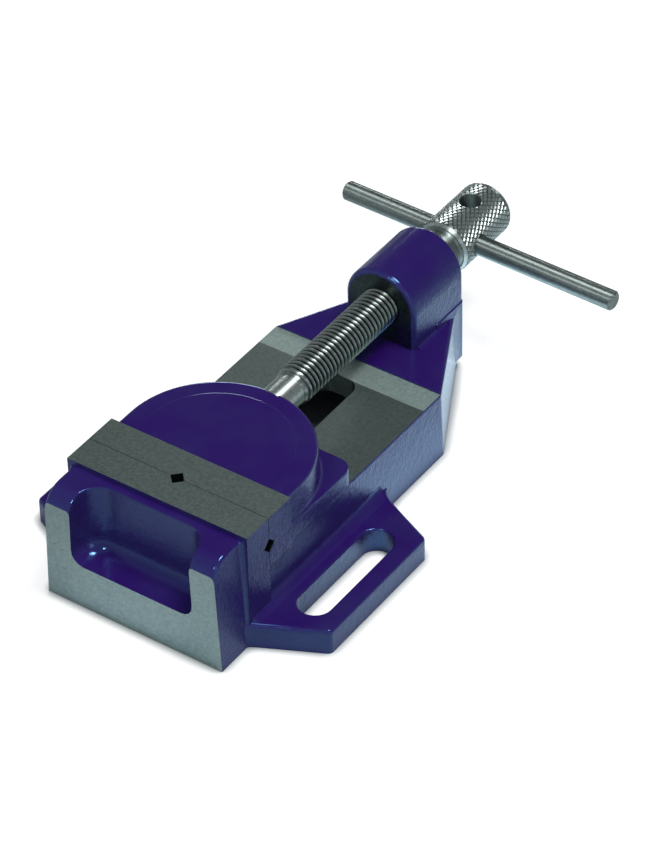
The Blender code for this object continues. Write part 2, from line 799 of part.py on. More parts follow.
def bed_milling():
    """Room above the machined bed."""
    half = LUG_SPREAD / 2
    return box("bed_milling", (-half, 0, BED_HEIGHT), (half, BED_LENGTH, JAW_TOP + OVERRUN))


def bed_slot_cutter():
    """Slot that the sliding jaw's tongue runs in."""
    half = BED_SLOT_WIDTH / 2
    corners = [
        (half, BED_SLOT_START, TONGUE_CORNER_RADIUS),
        (half, BED_SLOT_END, BED_SLOT_RADIUS),
    ]
    outline = rounded_outline(mirrored(corners))
    return solid_from_outline("bed_slot", outline, BED_UNDERSIDE - OVERRUN, DECK_HEIGHT + OVERRUN)


def underside_cutter():
    """Hollow below the bed, which follows the body's plan inside its walls."""
    half = BODY_WIDTH / 2 - UNDERSIDE_WALL
    end_half = FOOT_END_WIDTH / 2 - UNDERSIDE_WALL + UNDERSIDE_END_WALL / 2
    corners = [
        (half, UNDERSIDE_FRONT_WALL, UNDERSIDE_RADIUS),
        (half, BED_LENGTH - UNDERSIDE_WALL / 2, UNDERSIDE_RADIUS),
        (end_half, FOOT_END - UNDERSIDE_END_WALL, UNDERSIDE_RADIUS),
    ]
    outline = rounded_outline(mirrored(corners))
    cutter = solid_from_outline("underside", outline, -OVERRUN, BED_UNDERSIDE)
    return round_edges(
        cutter, UNDERSIDE_CEILING_RADIUS, FINE_SEGMENTS, at_height(BED_UNDERSIDE))


def level_vee_cutter(name, jaw_face):
    """Square bar on its edge that cuts the level groove across a jaw's face."""
    half = LEVEL_VEE_WIDTH / 2
    height = LEVEL_VEE_HEIGHT
    diamond = [
        (jaw_face, height + half),
        (jaw_face - half, height),
        (jaw_face, height - half),
        (jaw_face + half, height),
    ]
    return solid_from_outline(name, diamond, -JAW_WIDTH, JAW_WIDTH, "YZ")


def upright_vee_cutter(name, jaw_face):
    """Square bar on its edge that cuts the upright groove in a jaw's face."""
    half = UPRIGHT_VEE_WIDTH / 2
    diamond = [(half, jaw_face), (0, jaw_face + half), (-half, jaw_face), (0, jaw_face - half)]
    return solid_from_outline(name, diamond, BED_HEIGHT - half, JAW_TOP + OVERRUN)


def make_vise_body(material, collection, cutters):
    """Body casting: fixed jaw, bed, lugs, rear deck and screw boss."""
    body = make_foot()
    half = JAW_WIDTH / 2
    slab = box("fixed_jaw_slab", (-half, -FIXED_JAW_THICKNESS, 0), (half, 0, JAW_TOP))
    join(body, make_front_block(), slab, make_pillar(), make_boss())
    front = -FIXED_JAW_THICKNESS
    top = FRONT_BLOCK_HEIGHT - FILLET_SINK
    for side in (1, -1):
        join(body, make_lug(side), make_boss_fillet(side))
        join(body, make_flare(side, -1, front, 0, top, slab_step, BODY_EDGE_RADIUS))
        join(body, make_flare(side, 1, 0, 0, DECK_HEIGHT, slab_step, BODY_EDGE_RADIUS))
    cut(body, bed_milling(), cutters)
    cut(body, underside_cutter(), cutters)
    cut(body, bed_slot_cutter(), cutters)
    bore_radius = SCREW_RADIUS + SEAT_GAP
    bore = cylinder(
        "boss_bore", bore_radius, BOSS_START - OVERRUN, BOSS_END + OVERRUN, ROUND_SIDES, "Y")
    cut(body, shifted(bore, 0, 0, SCREW_HEIGHT), cutters)
    cut(body, level_vee_cutter("level_vee_fixed", 0), cutters)
    cut(body, upright_vee_cutter("upright_vee_fixed", 0), cutters)
    return finish_node(body, "vise_body", material, collection, (0, 0, 0))


# Sliding jaw

def pad_outline(radius, front):
    """D shape: straight sides from the front, then half a circle."""
    outline = [(-radius, front), (radius, front)]
    outline += arc_points(0, PAD_CENTRE, radius, 0, math.pi, PAD_ARC_STEP)
    return outline


def make_pad():
    """Round pad behind the slab, with a rounded edge and a raised crown."""
    front = SLIDING_JAW_THICKNESS / 2
    pad = solid_from_outline("pad", pad_outline(PAD_RADIUS, front), SLIDE_FACE, PAD_HEIGHT)
    on_pad = at_height(PAD_HEIGHT)
    round_edges(
        pad, PAD_EDGE_RADIUS, BROAD_SEGMENTS,
        lambda edge: on_pad(edge) and reaches_past(edge, 1, front))
    crown_outline = pad_outline(PAD_CROWN_RADIUS, front)
    crown = solid_from_outline("pad_crown", crown_outline, FLANGE_TOP, PAD_CROWN_HEIGHT)
    on_crown = at_height(PAD_CROWN_HEIGHT)
    round_edges(
        crown, PAD_CROWN_EDGE, FINE_SEGMENTS,
        lambda edge: on_crown(edge) and reaches_past(edge, 1, front))
    return join(pad, crown)


def flange_outline(inset):
    """Flange's plan, with its two rear corners rounded, moved inward."""
    half = FLANGE_WIDTH / 2
    corners = [
        (half, SLIDING_JAW_THICKNESS / 2, 0),
        (half, FLANGE_END, FLANGE_CORNER_RADIUS),
    ]
    return rounded_outline(inset_corners(mirrored(corners), inset))


def make_flange():
    """Plate that rides on the bed, with the fillet that runs up to the pad."""
    flange = solid_from_outline("flange", flange_outline(0), SLIDE_FACE, FLANGE_TOP)
    round_edges(flange, FLANGE_EDGE_RADIUS, FINE_SEGMENTS, at_height(FLANGE_TOP))
    reach = PAD_RADIUS + PAD_FILLET_RADIUS - FILLET_SINK
    top = FLANGE_TOP + PAD_FILLET_RADIUS - FILLET_SINK
    arc = arc_points(top, reach, PAD_FILLET_RADIUS, math.pi, math.pi * 3 / 2)
    ring = turned("pad_fillet", [(SLIDE_FACE + SLIDE_GAP, reach)] + arc, PAD_SIDES)
    shifted(ring, 0, PAD_CENTRE, 0)
    outline = flange_outline(FILLET_SINK)
    bounds = solid_from_outline("flange_bounds", outline, SLIDE_FACE, PAD_HEIGHT)
    combine(ring, bounds, 'INTERSECT')
    return join(flange, ring)


def make_tongue():
    """Tongue that runs in the bed's slot and carries the keeper plate."""
    half = BED_SLOT_WIDTH / 2 - SLIDE_GAP
    corners = [
        (half, TONGUE_START, TONGUE_CORNER_RADIUS),
        (half, TONGUE_START + TONGUE_LENGTH, TONGUE_CORNER_RADIUS),
    ]
    outline = rounded_outline(mirrored(corners))
    return solid_from_outline("tongue", outline, BED_UNDERSIDE, FLANGE_TOP)


def keeper_screw_places():
    """Places of the two keeper screws along the tongue."""
    return {
        "front": KEEPER_CENTRE - KEEPER_SCREW_SPACING / 2,
        "rear": KEEPER_CENTRE + KEEPER_SCREW_SPACING / 2,
    }


def make_sliding_jaw(material, collection, cutters, parent):
    """Sliding jaw casting: slab, pad, flange and tongue."""
    half = JAW_WIDTH / 2
    jaw = box("jaw_slab", (-half, SLIDE_GAP, SLIDE_FACE), (half, SLIDING_JAW_THICKNESS, JAW_TOP))
    join(jaw, make_flange(), make_pad(), make_tongue())
    top = PAD_HEIGHT - PAD_EDGE_RADIUS
    for side in (1, -1):
        join(jaw, make_flare(
            side, 1, SLIDING_JAW_THICKNESS, SLIDE_FACE, top, lambda height: half - PAD_RADIUS,
            BODY_EDGE_RADIUS))
    spigot_end = SHOULDER - SPIGOT_LENGTH - SEAT_GAP
    bore_radius = SPIGOT_RADIUS + SLIDE_GAP
    bore = cylinder(
        "spigot_bore", bore_radius, spigot_end, PAD_END + OVERRUN, SMALL_ROUND_SIDES, "Y")
    cut(jaw, shifted(bore, 0, 0, SCREW_HEIGHT), cutters, parent)
    for name, side in (("left", -1), ("right", 1)):
        top = SLIDE_FACE + PIN_LENGTH + 2 * SEAT_GAP
        hole = cylinder(
            "pin_hole_" + name, PIN_RADIUS + SEAT_GAP, SLIDE_FACE - OVERRUN, top, SMALL_ROUND_SIDES)
        cut(jaw, shifted(hole, side * PIN_SPREAD, PIN_PLACE, 0), cutters, parent)
    for name, place in keeper_screw_places().items():
        top = KEEPER_BOTTOM + KEEPER_THICKNESS + KEEPER_SCREW_GRIP + SLIDE_GAP + SEAT_GAP
        hole = cylinder(
            "tapped_hole_" + name, KEEPER_SCREW_RADIUS + SEAT_GAP, KEEPER_BOTTOM, top,
            SMALL_ROUND_SIDES)
        cut(jaw, shifted(hole, 0, place, 0), cutters, parent)
    cut(jaw, level_vee_cutter("level_vee_sliding", SLIDE_GAP), cutters, parent)
    cut(jaw, upright_vee_cutter("upright_vee_sliding", SLIDE_GAP), cutters, parent)
    return finish_node(jaw, "sliding_jaw", material, collection, (0, 0, BED_HEIGHT), parent)


# Screw and tommy bar

def screw_profile():
    """Screw's turned profile as (place along Y, radius), from the spigot to the head's end."""
    spigot_start = SHOULDER - SPIGOT_LENGTH
    groove_end = SHOULDER - GROOVE_SETBACK
    groove_start = groove_end - GROOVE_WIDTH
    thread_start = SHOULDER + NOSE_LENGTH
    return [
        (spigot_start, SPIGOT_RADIUS - SPIGOT_CHAMFER),
        (spigot_start + SPIGOT_CHAMFER, SPIGOT_RADIUS),
        (groove_start, SPIGOT_RADIUS),
        (groove_start, GROOVE_RADIUS),
        (groove_end, GROOVE_RADIUS),
        (groove_end, SPIGOT_RADIUS),
        (SHOULDER, SPIGOT_RADIUS),
        (SHOULDER, NOSE_RADIUS),
        (thread_start, NOSE_RADIUS),
        (thread_start + THREAD_RUN_OUT, SCREW_RADIUS),
        (COLLAR_START, SCREW_RADIUS),
        (COLLAR_START, COLLAR_RADIUS - COLLAR_CHAMFER),
        (COLLAR_START + COLLAR_CHAMFER, COLLAR_RADIUS),
        (NECK_START - COLLAR_CHAMFER, COLLAR_RADIUS),
        (NECK_START + NECK_SLOPE, NECK_RADIUS),
        (HEAD_START - NECK_SLOPE, NECK_RADIUS),
        (HEAD_START, HEAD_RADIUS - HEAD_FRONT_CHAMFER),
        (HEAD_START + HEAD_FRONT_CHAMFER, HEAD_RADIUS),
        (HEAD_END - HEAD_END_CHAMFER, HEAD_RADIUS),
        (HEAD_END, HEAD_RADIUS - HEAD_END_CHAMFER),
    ]


def make_lead_screw(material, collection, cutters, parent):
    """Screw with its captive spigot, threaded shank, collar and cross-drilled head."""
    screw = turned("lead_screw", screw_profile(), ROUND_SIDES, "Y")
    shifted(screw, 0, 0, SCREW_HEIGHT)
    reach = HEAD_RADIUS + OVERRUN
    bar_hole = cylinder("bar_hole", BAR_HOLE_RADIUS, -reach, reach, SMALL_ROUND_SIDES, "X")
    cut(screw, shifted(bar_hole, 0, BAR_PLACE, SCREW_HEIGHT), cutters, parent)
    cross_hole = cylinder("cross_hole", BAR_HOLE_RADIUS, -reach, reach, SMALL_ROUND_SIDES)
    cut(screw, shifted(cross_hole, 0, CROSS_HOLE_PLACE, SCREW_HEIGHT), cutters, parent)
    place = (0, SHOULDER, SCREW_HEIGHT)
    return finish_node(screw, "lead_screw", material, collection, place, parent)


def make_tommy_bar(material, collection, parent):
    """Plain bar with chamfered ends, through the head."""
    half = BAR_LENGTH / 2
    profile = [
        (-half, BAR_RADIUS - BAR_CHAMFER),
        (BAR_CHAMFER - half, BAR_RADIUS),
        (half - BAR_CHAMFER, BAR_RADIUS),
        (half, BAR_RADIUS - BAR_CHAMFER),
    ]
    bar = turned("tommy_bar", profile, SMALL_ROUND_SIDES, "X")
    shifted(bar, BAR_OFFSET, BAR_PLACE, SCREW_HEIGHT)
    return finish_node(bar, "tommy_bar", material, collection, (0, BAR_PLACE, SCREW_HEIGHT), parent)


# Pieces below the bed and inside the jaw

def make_keeper_plate(material, collection, cutters, parent):
    """Plate under the bed that holds the sliding jaw down."""
    half = KEEPER_WIDTH / 2
    corners = [
        (half, KEEPER_CENTRE - KEEPER_LENGTH / 2, KEEPER_CORNER_RADIUS),
        (half, KEEPER_CENTRE + KEEPER_LENGTH / 2, KEEPER_CORNER_RADIUS),
    ]
    outline = rounded_outline(mirrored(corners), ARC_STEP * 2)
    plate = solid_from_outline("keeper_plate", outline, KEEPER_BOTTOM, KEEPER_TOP)
    for name, place in keeper_screw_places().items():
        hole = cylinder(
            "keeper_hole_" + name, KEEPER_SCREW_RADIUS + SEAT_GAP, KEEPER_BOTTOM - OVERRUN,
            KEEPER_TOP + OVERRUN, SMALL_ROUND_SIDES)
        cut(plate, shifted(hole, 0, place, 0), cutters, parent)
    place = (0, KEEPER_CENTRE, KEEPER_TOP)
    return finish_node(plate, "keeper_plate", material, collection, place, parent)


def make_keeper_screw(name, place, material, collection, parent):
    """Hexagon head screw that goes up into the tongue."""
    tip = KEEPER_BOTTOM + KEEPER_THICKNESS + KEEPER_SCREW_GRIP
    head = cylinder(
        "screw_head", KEEPER_SCREW_HEAD / math.sqrt(3), SCREW_HEAD_TOP - KEEPER_SCREW_HEAD_HEIGHT,
        SCREW_HEAD_TOP, HEX_SIDES)
    shank = turned(
        "screw_shank",
        [
            (SCREW_HEAD_TOP - KEEPER_SCREW_HEAD_HEIGHT / 2, KEEPER_SCREW_RADIUS),
            (tip - KEEPER_SCREW_CHAMFER, KEEPER_SCREW_RADIUS),
            (tip, KEEPER_SCREW_RADIUS - KEEPER_SCREW_CHAMFER),
        ],
        SMALL_ROUND_SIDES)
    screw = join(head, shank)
    shifted(screw, 0, place, 0)
    return finish_node(
        screw, "keeper_screw_" + name, material, collection, (0, place, SCREW_HEAD_TOP), parent)


def make_lock_washer(name, place, material, collection, cutters, parent):
    """Washer between a keeper screw's head and the plate."""
    top = WASHER_BOTTOM + WASHER_THICKNESS
    washer = cylinder("washer", WASHER_RADIUS, WASHER_BOTTOM, top, SMALL_ROUND_SIDES)
    shifted(washer, 0, place, 0)
    hole = cylinder(
        "washer_hole_" + name, KEEPER_SCREW_RADIUS + SEAT_GAP, WASHER_BOTTOM - OVERRUN, top + OVERRUN,
        SMALL_ROUND_SIDES)
    cut(washer, shifted(hole, 0, place, 0), cutters, parent)
    return finish_node(
        washer, "lock_washer_" + name, material, collection, (0, place, WASHER_BOTTOM), parent)


def make_retaining_pin(name, side, material, collection, parent):
    """Pin that stands in the jaw and reaches into the spigot's groove."""
    bottom = SLIDE_FACE + SEAT_GAP
    top = bottom + PIN_LENGTH
    profile = [
        (bottom, PIN_RADIUS - PIN_CHAMFER),
        (bottom + PIN_CHAMFER, PIN_RADIUS),
        (top - PIN_CHAMFER, PIN_RADIUS),
        (top, PIN_RADIUS - PIN_CHAMFER),
    ]
    pin = turned("retaining_pin", profile, SMALL_ROUND_SIDES)
    shifted(pin, side * PIN_SPREAD, PIN_PLACE, 0)
    place = (side * PIN_SPREAD, PIN_PLACE, bottom)
    return finish_node(pin, "retaining_pin_" + name, material, collection, place, parent)


def build_vise():
    """Build every piece and print the sizes that the joints follow."""
    clear_scene()
    pieces = new_collection("drill_press_vise")
    cutters = new_collection("vise_cutters")
    new_smooth_group()

    violet = (0.03, 0.012, 0.12)
    enamel = new_material("violet_enamel", violet, 0.25, 0)
    jaw_enamel = new_material("violet_enamel_jaw", violet, 0.25, 0)
    bright_steel = new_material("bright_steel", (0.45, 0.47, 0.46), 0.3, 1)
    bar_steel = new_material("ground_steel", (0.33, 0.36, 0.35), 0.25, 1)
    plate_steel = new_material("plate_steel", (0.2, 0.21, 0.21), 0.5, 1)
    screw_steel = new_material("blackened_steel", (0.05, 0.05, 0.05), 0.5, 1)
    washer_steel = new_material("spring_steel", (0.25, 0.26, 0.26), 0.45, 1)
    pin_steel = new_material("pin_steel", (0.3, 0.31, 0.31), 0.4, 1)

    jaw_carriage = new_empty("jaw_carriage", (0, 0, BED_HEIGHT), pieces)
    screw_axis = new_empty("screw_axis", (0, SHOULDER, SCREW_HEIGHT), pieces, jaw_carriage)
    screw_axis.rotation_euler.y = SCREW_REST_TURN
    bar_axis = new_empty("bar_axis", (0, BAR_PLACE, SCREW_HEIGHT), pieces, screw_axis)

    make_vise_body(enamel, pieces, cutters)
    make_sliding_jaw(jaw_enamel, pieces, cutters, jaw_carriage)
    make_keeper_plate(plate_steel, pieces, cutters, jaw_carriage)
    for name, place in keeper_screw_places().items():
        make_keeper_screw(name, place, screw_steel, pieces, jaw_carriage)
        make_lock_washer(name, place, washer_steel, pieces, cutters, jaw_carriage)
    for name, side in (("left", -1), ("right", 1)):
        make_retaining_pin(name, side, pin_steel, pieces, jaw_carriage)
    make_lead_screw(bright_steel, pieces, cutters, screw_axis)
    make_tommy_bar(bar_steel, pieces, bar_axis)

    print("jaw travel", round(JAW_TRAVEL / MM, 2), "mm in", TURNS_TO_OPEN, "turns")


build_vise()
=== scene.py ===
# %% [markdown]
# # A drill press vise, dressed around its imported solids
#
# The real vise is an iron casting with a second casting that slides on it, both coated with
# violet-blue enamel and then milled bare where work or the table touches them. A screw, its cross
# bar and a few small steel pieces complete it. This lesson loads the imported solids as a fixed
# frame and gives each piece the edges, threads, knurls and finishes that the solids leave out. The
# solids are in metres, with the closed jaws' joint line at y = 0 and the base on z = 0, and every
# new piece is made in that same frame.

# %% Load the frame
import math

import bmesh
import bpy
from mathutils import Matrix, Vector


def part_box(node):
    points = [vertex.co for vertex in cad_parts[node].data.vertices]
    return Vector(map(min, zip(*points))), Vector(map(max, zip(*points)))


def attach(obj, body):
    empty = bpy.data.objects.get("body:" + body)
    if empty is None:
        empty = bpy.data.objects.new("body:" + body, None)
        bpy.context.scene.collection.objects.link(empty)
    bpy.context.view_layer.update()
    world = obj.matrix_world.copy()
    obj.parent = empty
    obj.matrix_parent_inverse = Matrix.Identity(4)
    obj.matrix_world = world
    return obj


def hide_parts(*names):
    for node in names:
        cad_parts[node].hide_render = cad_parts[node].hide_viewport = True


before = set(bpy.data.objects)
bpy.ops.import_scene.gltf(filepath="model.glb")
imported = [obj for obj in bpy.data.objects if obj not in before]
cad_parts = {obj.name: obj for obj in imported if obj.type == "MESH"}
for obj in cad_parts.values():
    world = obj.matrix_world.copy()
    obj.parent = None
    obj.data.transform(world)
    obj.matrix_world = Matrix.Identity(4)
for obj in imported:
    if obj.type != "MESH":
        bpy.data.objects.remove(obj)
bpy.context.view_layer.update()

MM = 0.001
print("solids:", sorted(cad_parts))

# %% [markdown]
# ## Light, floor and camera
#
# The photo is a catalogue picture on pale paper. Level enamel looks deep violet, because it
# mirrors the dark room behind the vise on the left. Upright sides look pale blue, because they
# mirror the paper close by, which is brightest to the right and behind. A ring of lamps could
# light it, but then every glossy face would mirror lamps. Here the paper is brighter to a mirror
# near the vise's right rear, the sky is darker behind, and four soft lamps add the band along the
# steel and the small white glints.

# %% Colours and nodes
def linear(hex_code):
    """Linear red, green and blue of an sRGB hex code."""
    channels = [int(hex_code[index:index + 2], 16) / 255 for index in (0, 2, 4)]
    return tuple(c / 12.92 if c <= 0.04045 else ((c + 0.055) / 1.055) ** 2.4 for c in channels)


def add_node(tree, kind, settings=None, **links):
    """Add a shader node with its settings, and link other nodes' sockets to its inputs.

    An input goes by its name or, where several share one, by input_ and its number. A setting
    that is no input is one of the node's own.
    """
    node = tree.nodes.new(kind)

    def its_input(name):
        """Input of that name or number, or None."""
        return node.inputs[int(name[-1])] if name.startswith("input_") else node.inputs.get(name)

    for name, value in (settings or {}).items():
        if its_input(name):
            its_input(name).default_value = value
        else:
            setattr(node, name, value)
    for name, socket in links.items():
        tree.links.new(socket, its_input(name))
    return node


def two_tone(tree, factor, low, low_colour, high, high_colour):
    """Ramp between two colours, given as hex codes, over a range of a factor."""
    ramp = add_node(tree, "ShaderNodeValToRGB", Fac=factor)
    first, last = ramp.color_ramp.elements
    first.position, first.color = low, (*linear(low_colour), 1)
    last.position, last.color = high, (*linear(high_colour), 1)
    return ramp.outputs["Color"]


print("mid grey in linear light:", [round(c, 3) for c in linear("808080")])

# %% The sheet of paper
def new_object(name, bm):
    """Object at the origin with the finished bmesh as its mesh."""
    mesh = bpy.data.meshes.new(name)
    bm.to_mesh(mesh)
    bm.free()
    item = bpy.data.objects.new(name, mesh)
    bpy.context.scene.collection.objects.link(item)
    return item


FLOOR_SIZE = 16.0
bm = bmesh.new()
bmesh.ops.create_grid(bm, x_segments=1, y_segments=1, size=FLOOR_SIZE / 2)
floor = new_object("paper_floor", bm)

# Uncoated paper scatters light evenly and has no gloss of its own.
paper = bpy.data.materials.new("grey_white_paper")
paper.use_nodes = True
floor.data.materials.append(paper)
tree = paper.node_tree
shader = tree.nodes["Principled BSDF"]
shader.inputs["Base Color"].default_value = (*linear("A9ADAE"), 1)
shader.inputs["Roughness"].default_value = 1.0
shader.inputs["Specular IOR Level"].default_value = 0.0
rays = add_node(tree, "ShaderNodeLightPath")
place = add_node(tree, "ShaderNodeTexCoord").outputs["Object"]
print("paper", FLOOR_SIZE, "m wide")

# %% The paper as the vise mirrors it
BRIGHT_DIRECTION = (0.85, 0.53, 0)
BRIGHT_START = 0.04
BRIGHT_END = 0.1
FRONT_LIGHT = 0.34
REAR_LIGHT = 1.8
FOOT_PLACE = (0, -0.78, 0)
FOOT_SCALE = (20, 8.7, 1)
NEAR_END = 1.2
FAR_START = 2.3
FAR_SHARE = 0.12

# This is painted light, a glow that only mirrors see: from four to ten centimetres out, to the
# right and behind, the paper turns from dim to bright.
along = add_node(
    tree, "ShaderNodeVectorMath", {"operation": 'DOT_PRODUCT', "input_1": BRIGHT_DIRECTION},
    input_0=place)
behind = add_node(
    tree, "ShaderNodeMapRange",
    {"From Min": BRIGHT_START, "From Max": BRIGHT_END, "To Min": FRONT_LIGHT,
     "To Max": REAR_LIGHT},
    Value=along.outputs["Value"])

# The mapping turns an ellipse under the body, 0.1 m wide and 0.23 m long, into a circle of radius
# 1. At more than twice that radius the paper is nearly dark to a mirror.
ellipse = add_node(
    tree, "ShaderNodeMapping", {"Location": FOOT_PLACE, "Scale": FOOT_SCALE}, Vector=place)
reach = add_node(tree, "ShaderNodeVectorMath", {"operation": 'LENGTH'}, input_0=ellipse.outputs[0])
close = add_node(
    tree, "ShaderNodeMapRange",
    {"From Min": NEAR_END, "From Max": FAR_START, "To Min": 1.0, "To Max": FAR_SHARE},
    Value=reach.outputs["Value"])
lit = add_node(
    tree, "ShaderNodeMath", {"operation": 'MULTIPLY'},
    input_0=behind.outputs["Result"], input_1=close.outputs["Result"])
mirrored = add_node(
    tree, "ShaderNodeMath", {"operation": 'MULTIPLY'},
    input_0=rays.outputs["Is Glossy Ray"], input_1=lit.outputs[0])
seen = add_node(
    tree, "ShaderNodeMath", {"operation": 'MAXIMUM'},
    input_0=rays.outputs["Is Camera Ray"], input_1=mirrored.outputs[0])
print("the paper's light in a mirror:", FRONT_LIGHT * FAR_SHARE, "to", REAR_LIGHT)

# %% The thin shadow round the foot
PAPER_LIFT = 0.78
CONTACT_WIDTH = 0.006
SHADOW_CORE = 0.45
SHADOW_EDGE = 0.95
UNDER_BODY = 0.85
BESIDE_BODY = 1.05

# The lift makes the paper white to the camera. It fades where the vise stands within 6 mm.
corner = add_node(tree, "ShaderNodeAmbientOcclusion", {"Distance": CONTACT_WIDTH})
open_sky = add_node(
    tree, "ShaderNodeMapRange",
    {"From Min": SHADOW_CORE, "From Max": SHADOW_EDGE, "To Max": PAPER_LIFT},
    Value=corner.outputs["AO"])

# Under the body there is no lift, or the paper would show white through the slot of the bed.
outside = add_node(
    tree, "ShaderNodeMapRange", {"From Min": UNDER_BODY, "From Max": BESIDE_BODY},
    Value=reach.outputs["Value"])
bright = add_node(
    tree, "ShaderNodeMath", {"operation": 'MULTIPLY'},
    input_0=open_sky.outputs["Result"], input_1=outside.outputs["Result"])
lift = add_node(
    tree, "ShaderNodeMath", {"operation": 'MULTIPLY'},
    input_0=seen.outputs[0], input_1=bright.outputs[0])
# To mirrors the glow is a pale cool blue, a painted tint for what the vise reflects.
cool = two_tone(tree, rays.outputs["Is Glossy Ray"], 0.0, "FFFFFF", 1.0, "D4F0FF")
tree.links.new(cool, shader.inputs["Emission Color"])
tree.links.new(lift.outputs[0], shader.inputs["Emission Strength"])
print("paper lifted by", PAPER_LIFT, "outside a shadow of", CONTACT_WIDTH / MM, "mm")

# %% The sky
# Heights and depths of a direction as it looks out: 1 is straight up, or straight to the rear.
LOW_SKY = 0.1
HIGH_SKY = 0.62
FRONT_SKY = -0.3
REAR_SKY = 0.4
REAR_SKY_SHARE = 0.32

world = bpy.data.worlds.new("studio")
bpy.context.scene.world = world
world.use_nodes = True
tree = world.node_tree
tree.nodes.clear()
looking = add_node(
    tree, "ShaderNodeSeparateXYZ", Vector=add_node(tree, "ShaderNodeTexCoord").outputs["Generated"])
room = two_tone(tree, looking.outputs["Z"], LOW_SKY, "B9BFC1", HIGH_SKY, "8C9294")
dark_side = add_node(
    tree, "ShaderNodeMapRange",
    {"From Min": FRONT_SKY, "From Max": REAR_SKY, "To Min": 1.0, "To Max": REAR_SKY_SHARE},
    Value=looking.outputs["Y"])
sky = add_node(
    tree, "ShaderNodeBackground", Color=room, Strength=dark_side.outputs["Result"])
add_node(tree, "ShaderNodeOutputWorld", Surface=sky.outputs["Background"])
print("sky behind the vise at", REAR_SKY_SHARE, "of the sky in front")

# %% The lamps
LAMP_AIM = Vector((0, 0.08, 0.04))


def soft_lamp(name, direction, distance, size, power):
    """Lamp of a width and a height that looks at the vise from a direction and a distance.

    Lengths are in metres and the power is in watts.
    """
    lamp = bpy.data.lights.new(name, 'AREA')
    lamp.shape = 'RECTANGLE'
    lamp.size, lamp.size_y = size
    lamp.energy = power
    item = bpy.data.objects.new(name, lamp)
    item.location = LAMP_AIM + Vector(direction).normalized() * distance
    item.rotation_euler = (item.location - LAMP_AIM).to_track_quat('Z', 'Y').to_euler()
    bpy.context.scene.collection.objects.link(item)


# The large lamp overhead gives the steel its bright band, the small ones glint on the edges that
# face the front, the right and the rear.
soft_lamp("top_lamp", (0.27, 0.1, 0.95), 2.0, (0.6, 0.6), 27)
soft_lamp("front_lamp", (0.05, -0.68, 0.72), 1.9, (0.2, 0.2), 6)
soft_lamp("side_lamp", (0.85, -0.35, 0.45), 2.0, (0.4, 0.4), 1.5)
soft_lamp("back_lamp", (-0.57, 0.8, 0.2), 2.2, (0.5, 0.3), 5)

# %% [markdown]
# The camera stands in front, to the right and above, about 1.8 m away with a long lens, as the
# nearly parallel edges of the photo show. It could be set by eye, with many tries. Here its place,
# turn and lens were worked out from the photo's straight edges.

# %% The camera
FOCAL_LENGTH = 218.61
SENSOR_WIDTH = 36.0
CAMERA_PLACE = (0.83531, -1.04616, 1.21714)
CAMERA_TURN = (49.8371, 1.196, 34.7556)
VIEW_END = 50.0
camera_data = bpy.data.cameras.new("photo_camera")
camera_data.sensor_fit = 'HORIZONTAL'
camera_data.sensor_width = SENSOR_WIDTH
camera_data.lens = FOCAL_LENGTH
camera_data.clip_end = VIEW_END
camera = bpy.data.objects.new("photo_camera", camera_data)
bpy.context.scene.collection.objects.link(camera)
camera.location = CAMERA_PLACE
camera.rotation_euler = [math.radians(angle) for angle in CAMERA_TURN]
bpy.context.scene.camera = camera
bpy.context.scene.view_settings.view_transform = 'Standard'
print("camera at", CAMERA_PLACE, "turned by", CAMERA_TURN)

# %% [markdown]
# ## Finishes
#
# The enamel is a thick violet-blue gloss over a sand-cast skin. On upright faces the lumps of the
# sand, one to four millimetres across, still bend what it mirrors. On level faces the wet coat
# flowed out flat. The lumps could be sculpted, but a bump from two noises shows the same on a
# plain mesh, and the direction of a face tells how much of it to keep. The pigment gives a blue
# sheen at a slant, and a slow change of tone stands for the uneven thickness of the coat. On
# upright faces a fine speckle of paler tone is painted sheen: it stands for the mottled
# reflections of the lumps, and it makes those faces paler than level ones.

# %% Patterns for the finishes
def new_material(name):
    """Material with its tree, its Principled shader and the place that its patterns follow."""
    material = bpy.data.materials.new(name)
    material.use_nodes = True
    tree = material.node_tree
    place = add_node(tree, "ShaderNodeTexCoord").outputs["Object"]
    return material, tree, tree.nodes["Principled BSDF"], place


def noise(tree, place, grain, detail, roughness=0.55):
    """Noise whose grain is given in metres."""
    node = add_node(
        tree, "ShaderNodeTexNoise", {"Scale": 1 / grain, "Detail": detail, "Roughness": roughness},
        Vector=place)
    return node.outputs["Fac"]


def bumped(tree, shader, *layers):
    """Bump a shader with layers of (height, depth in metres)."""
    normal = {}
    for height, depth in layers:
        bump = add_node(tree, "ShaderNodeBump", {"Distance": depth}, Height=height, **normal)
        normal = {"Normal": bump.outputs["Normal"]}
    tree.links.new(normal["Normal"], shader.inputs["Normal"])


print("a grain of 4 mm is a noise scale of", 1 / (4 * MM))

# %% Enamel on the castings
UPRIGHT_BELOW = 0.3
LEVEL_ABOVE = 0.8
LEVEL_SHARE = 0.15
SHEEN_SPECK_GRAIN = 0.8 * MM
COAT_GRAIN = 25 * MM
COAT_AND_SHEEN_LOW = 0.22
COAT_AND_SHEEN_HIGH = 0.66
SAND_LUMPS = ((4 * MM, 0.25 * MM), (0.9 * MM, 0.22 * MM))
ENAMEL_IOR = 1.8

# Glossy enamel over sand-cast iron: it mirrors like wet paint, and its lumps bend the mirror.
enamel, tree, shader, place = new_material("violet_enamel")
facing = add_node(
    tree, "ShaderNodeSeparateXYZ",
    Vector=add_node(tree, "ShaderNodeNewGeometry").outputs["Normal"])
upright = add_node(
    tree, "ShaderNodeMapRange",
    {"From Min": UPRIGHT_BELOW, "From Max": LEVEL_ABOVE, "To Min": 1.0, "To Max": LEVEL_SHARE},
    Value=facing.outputs["Z"])
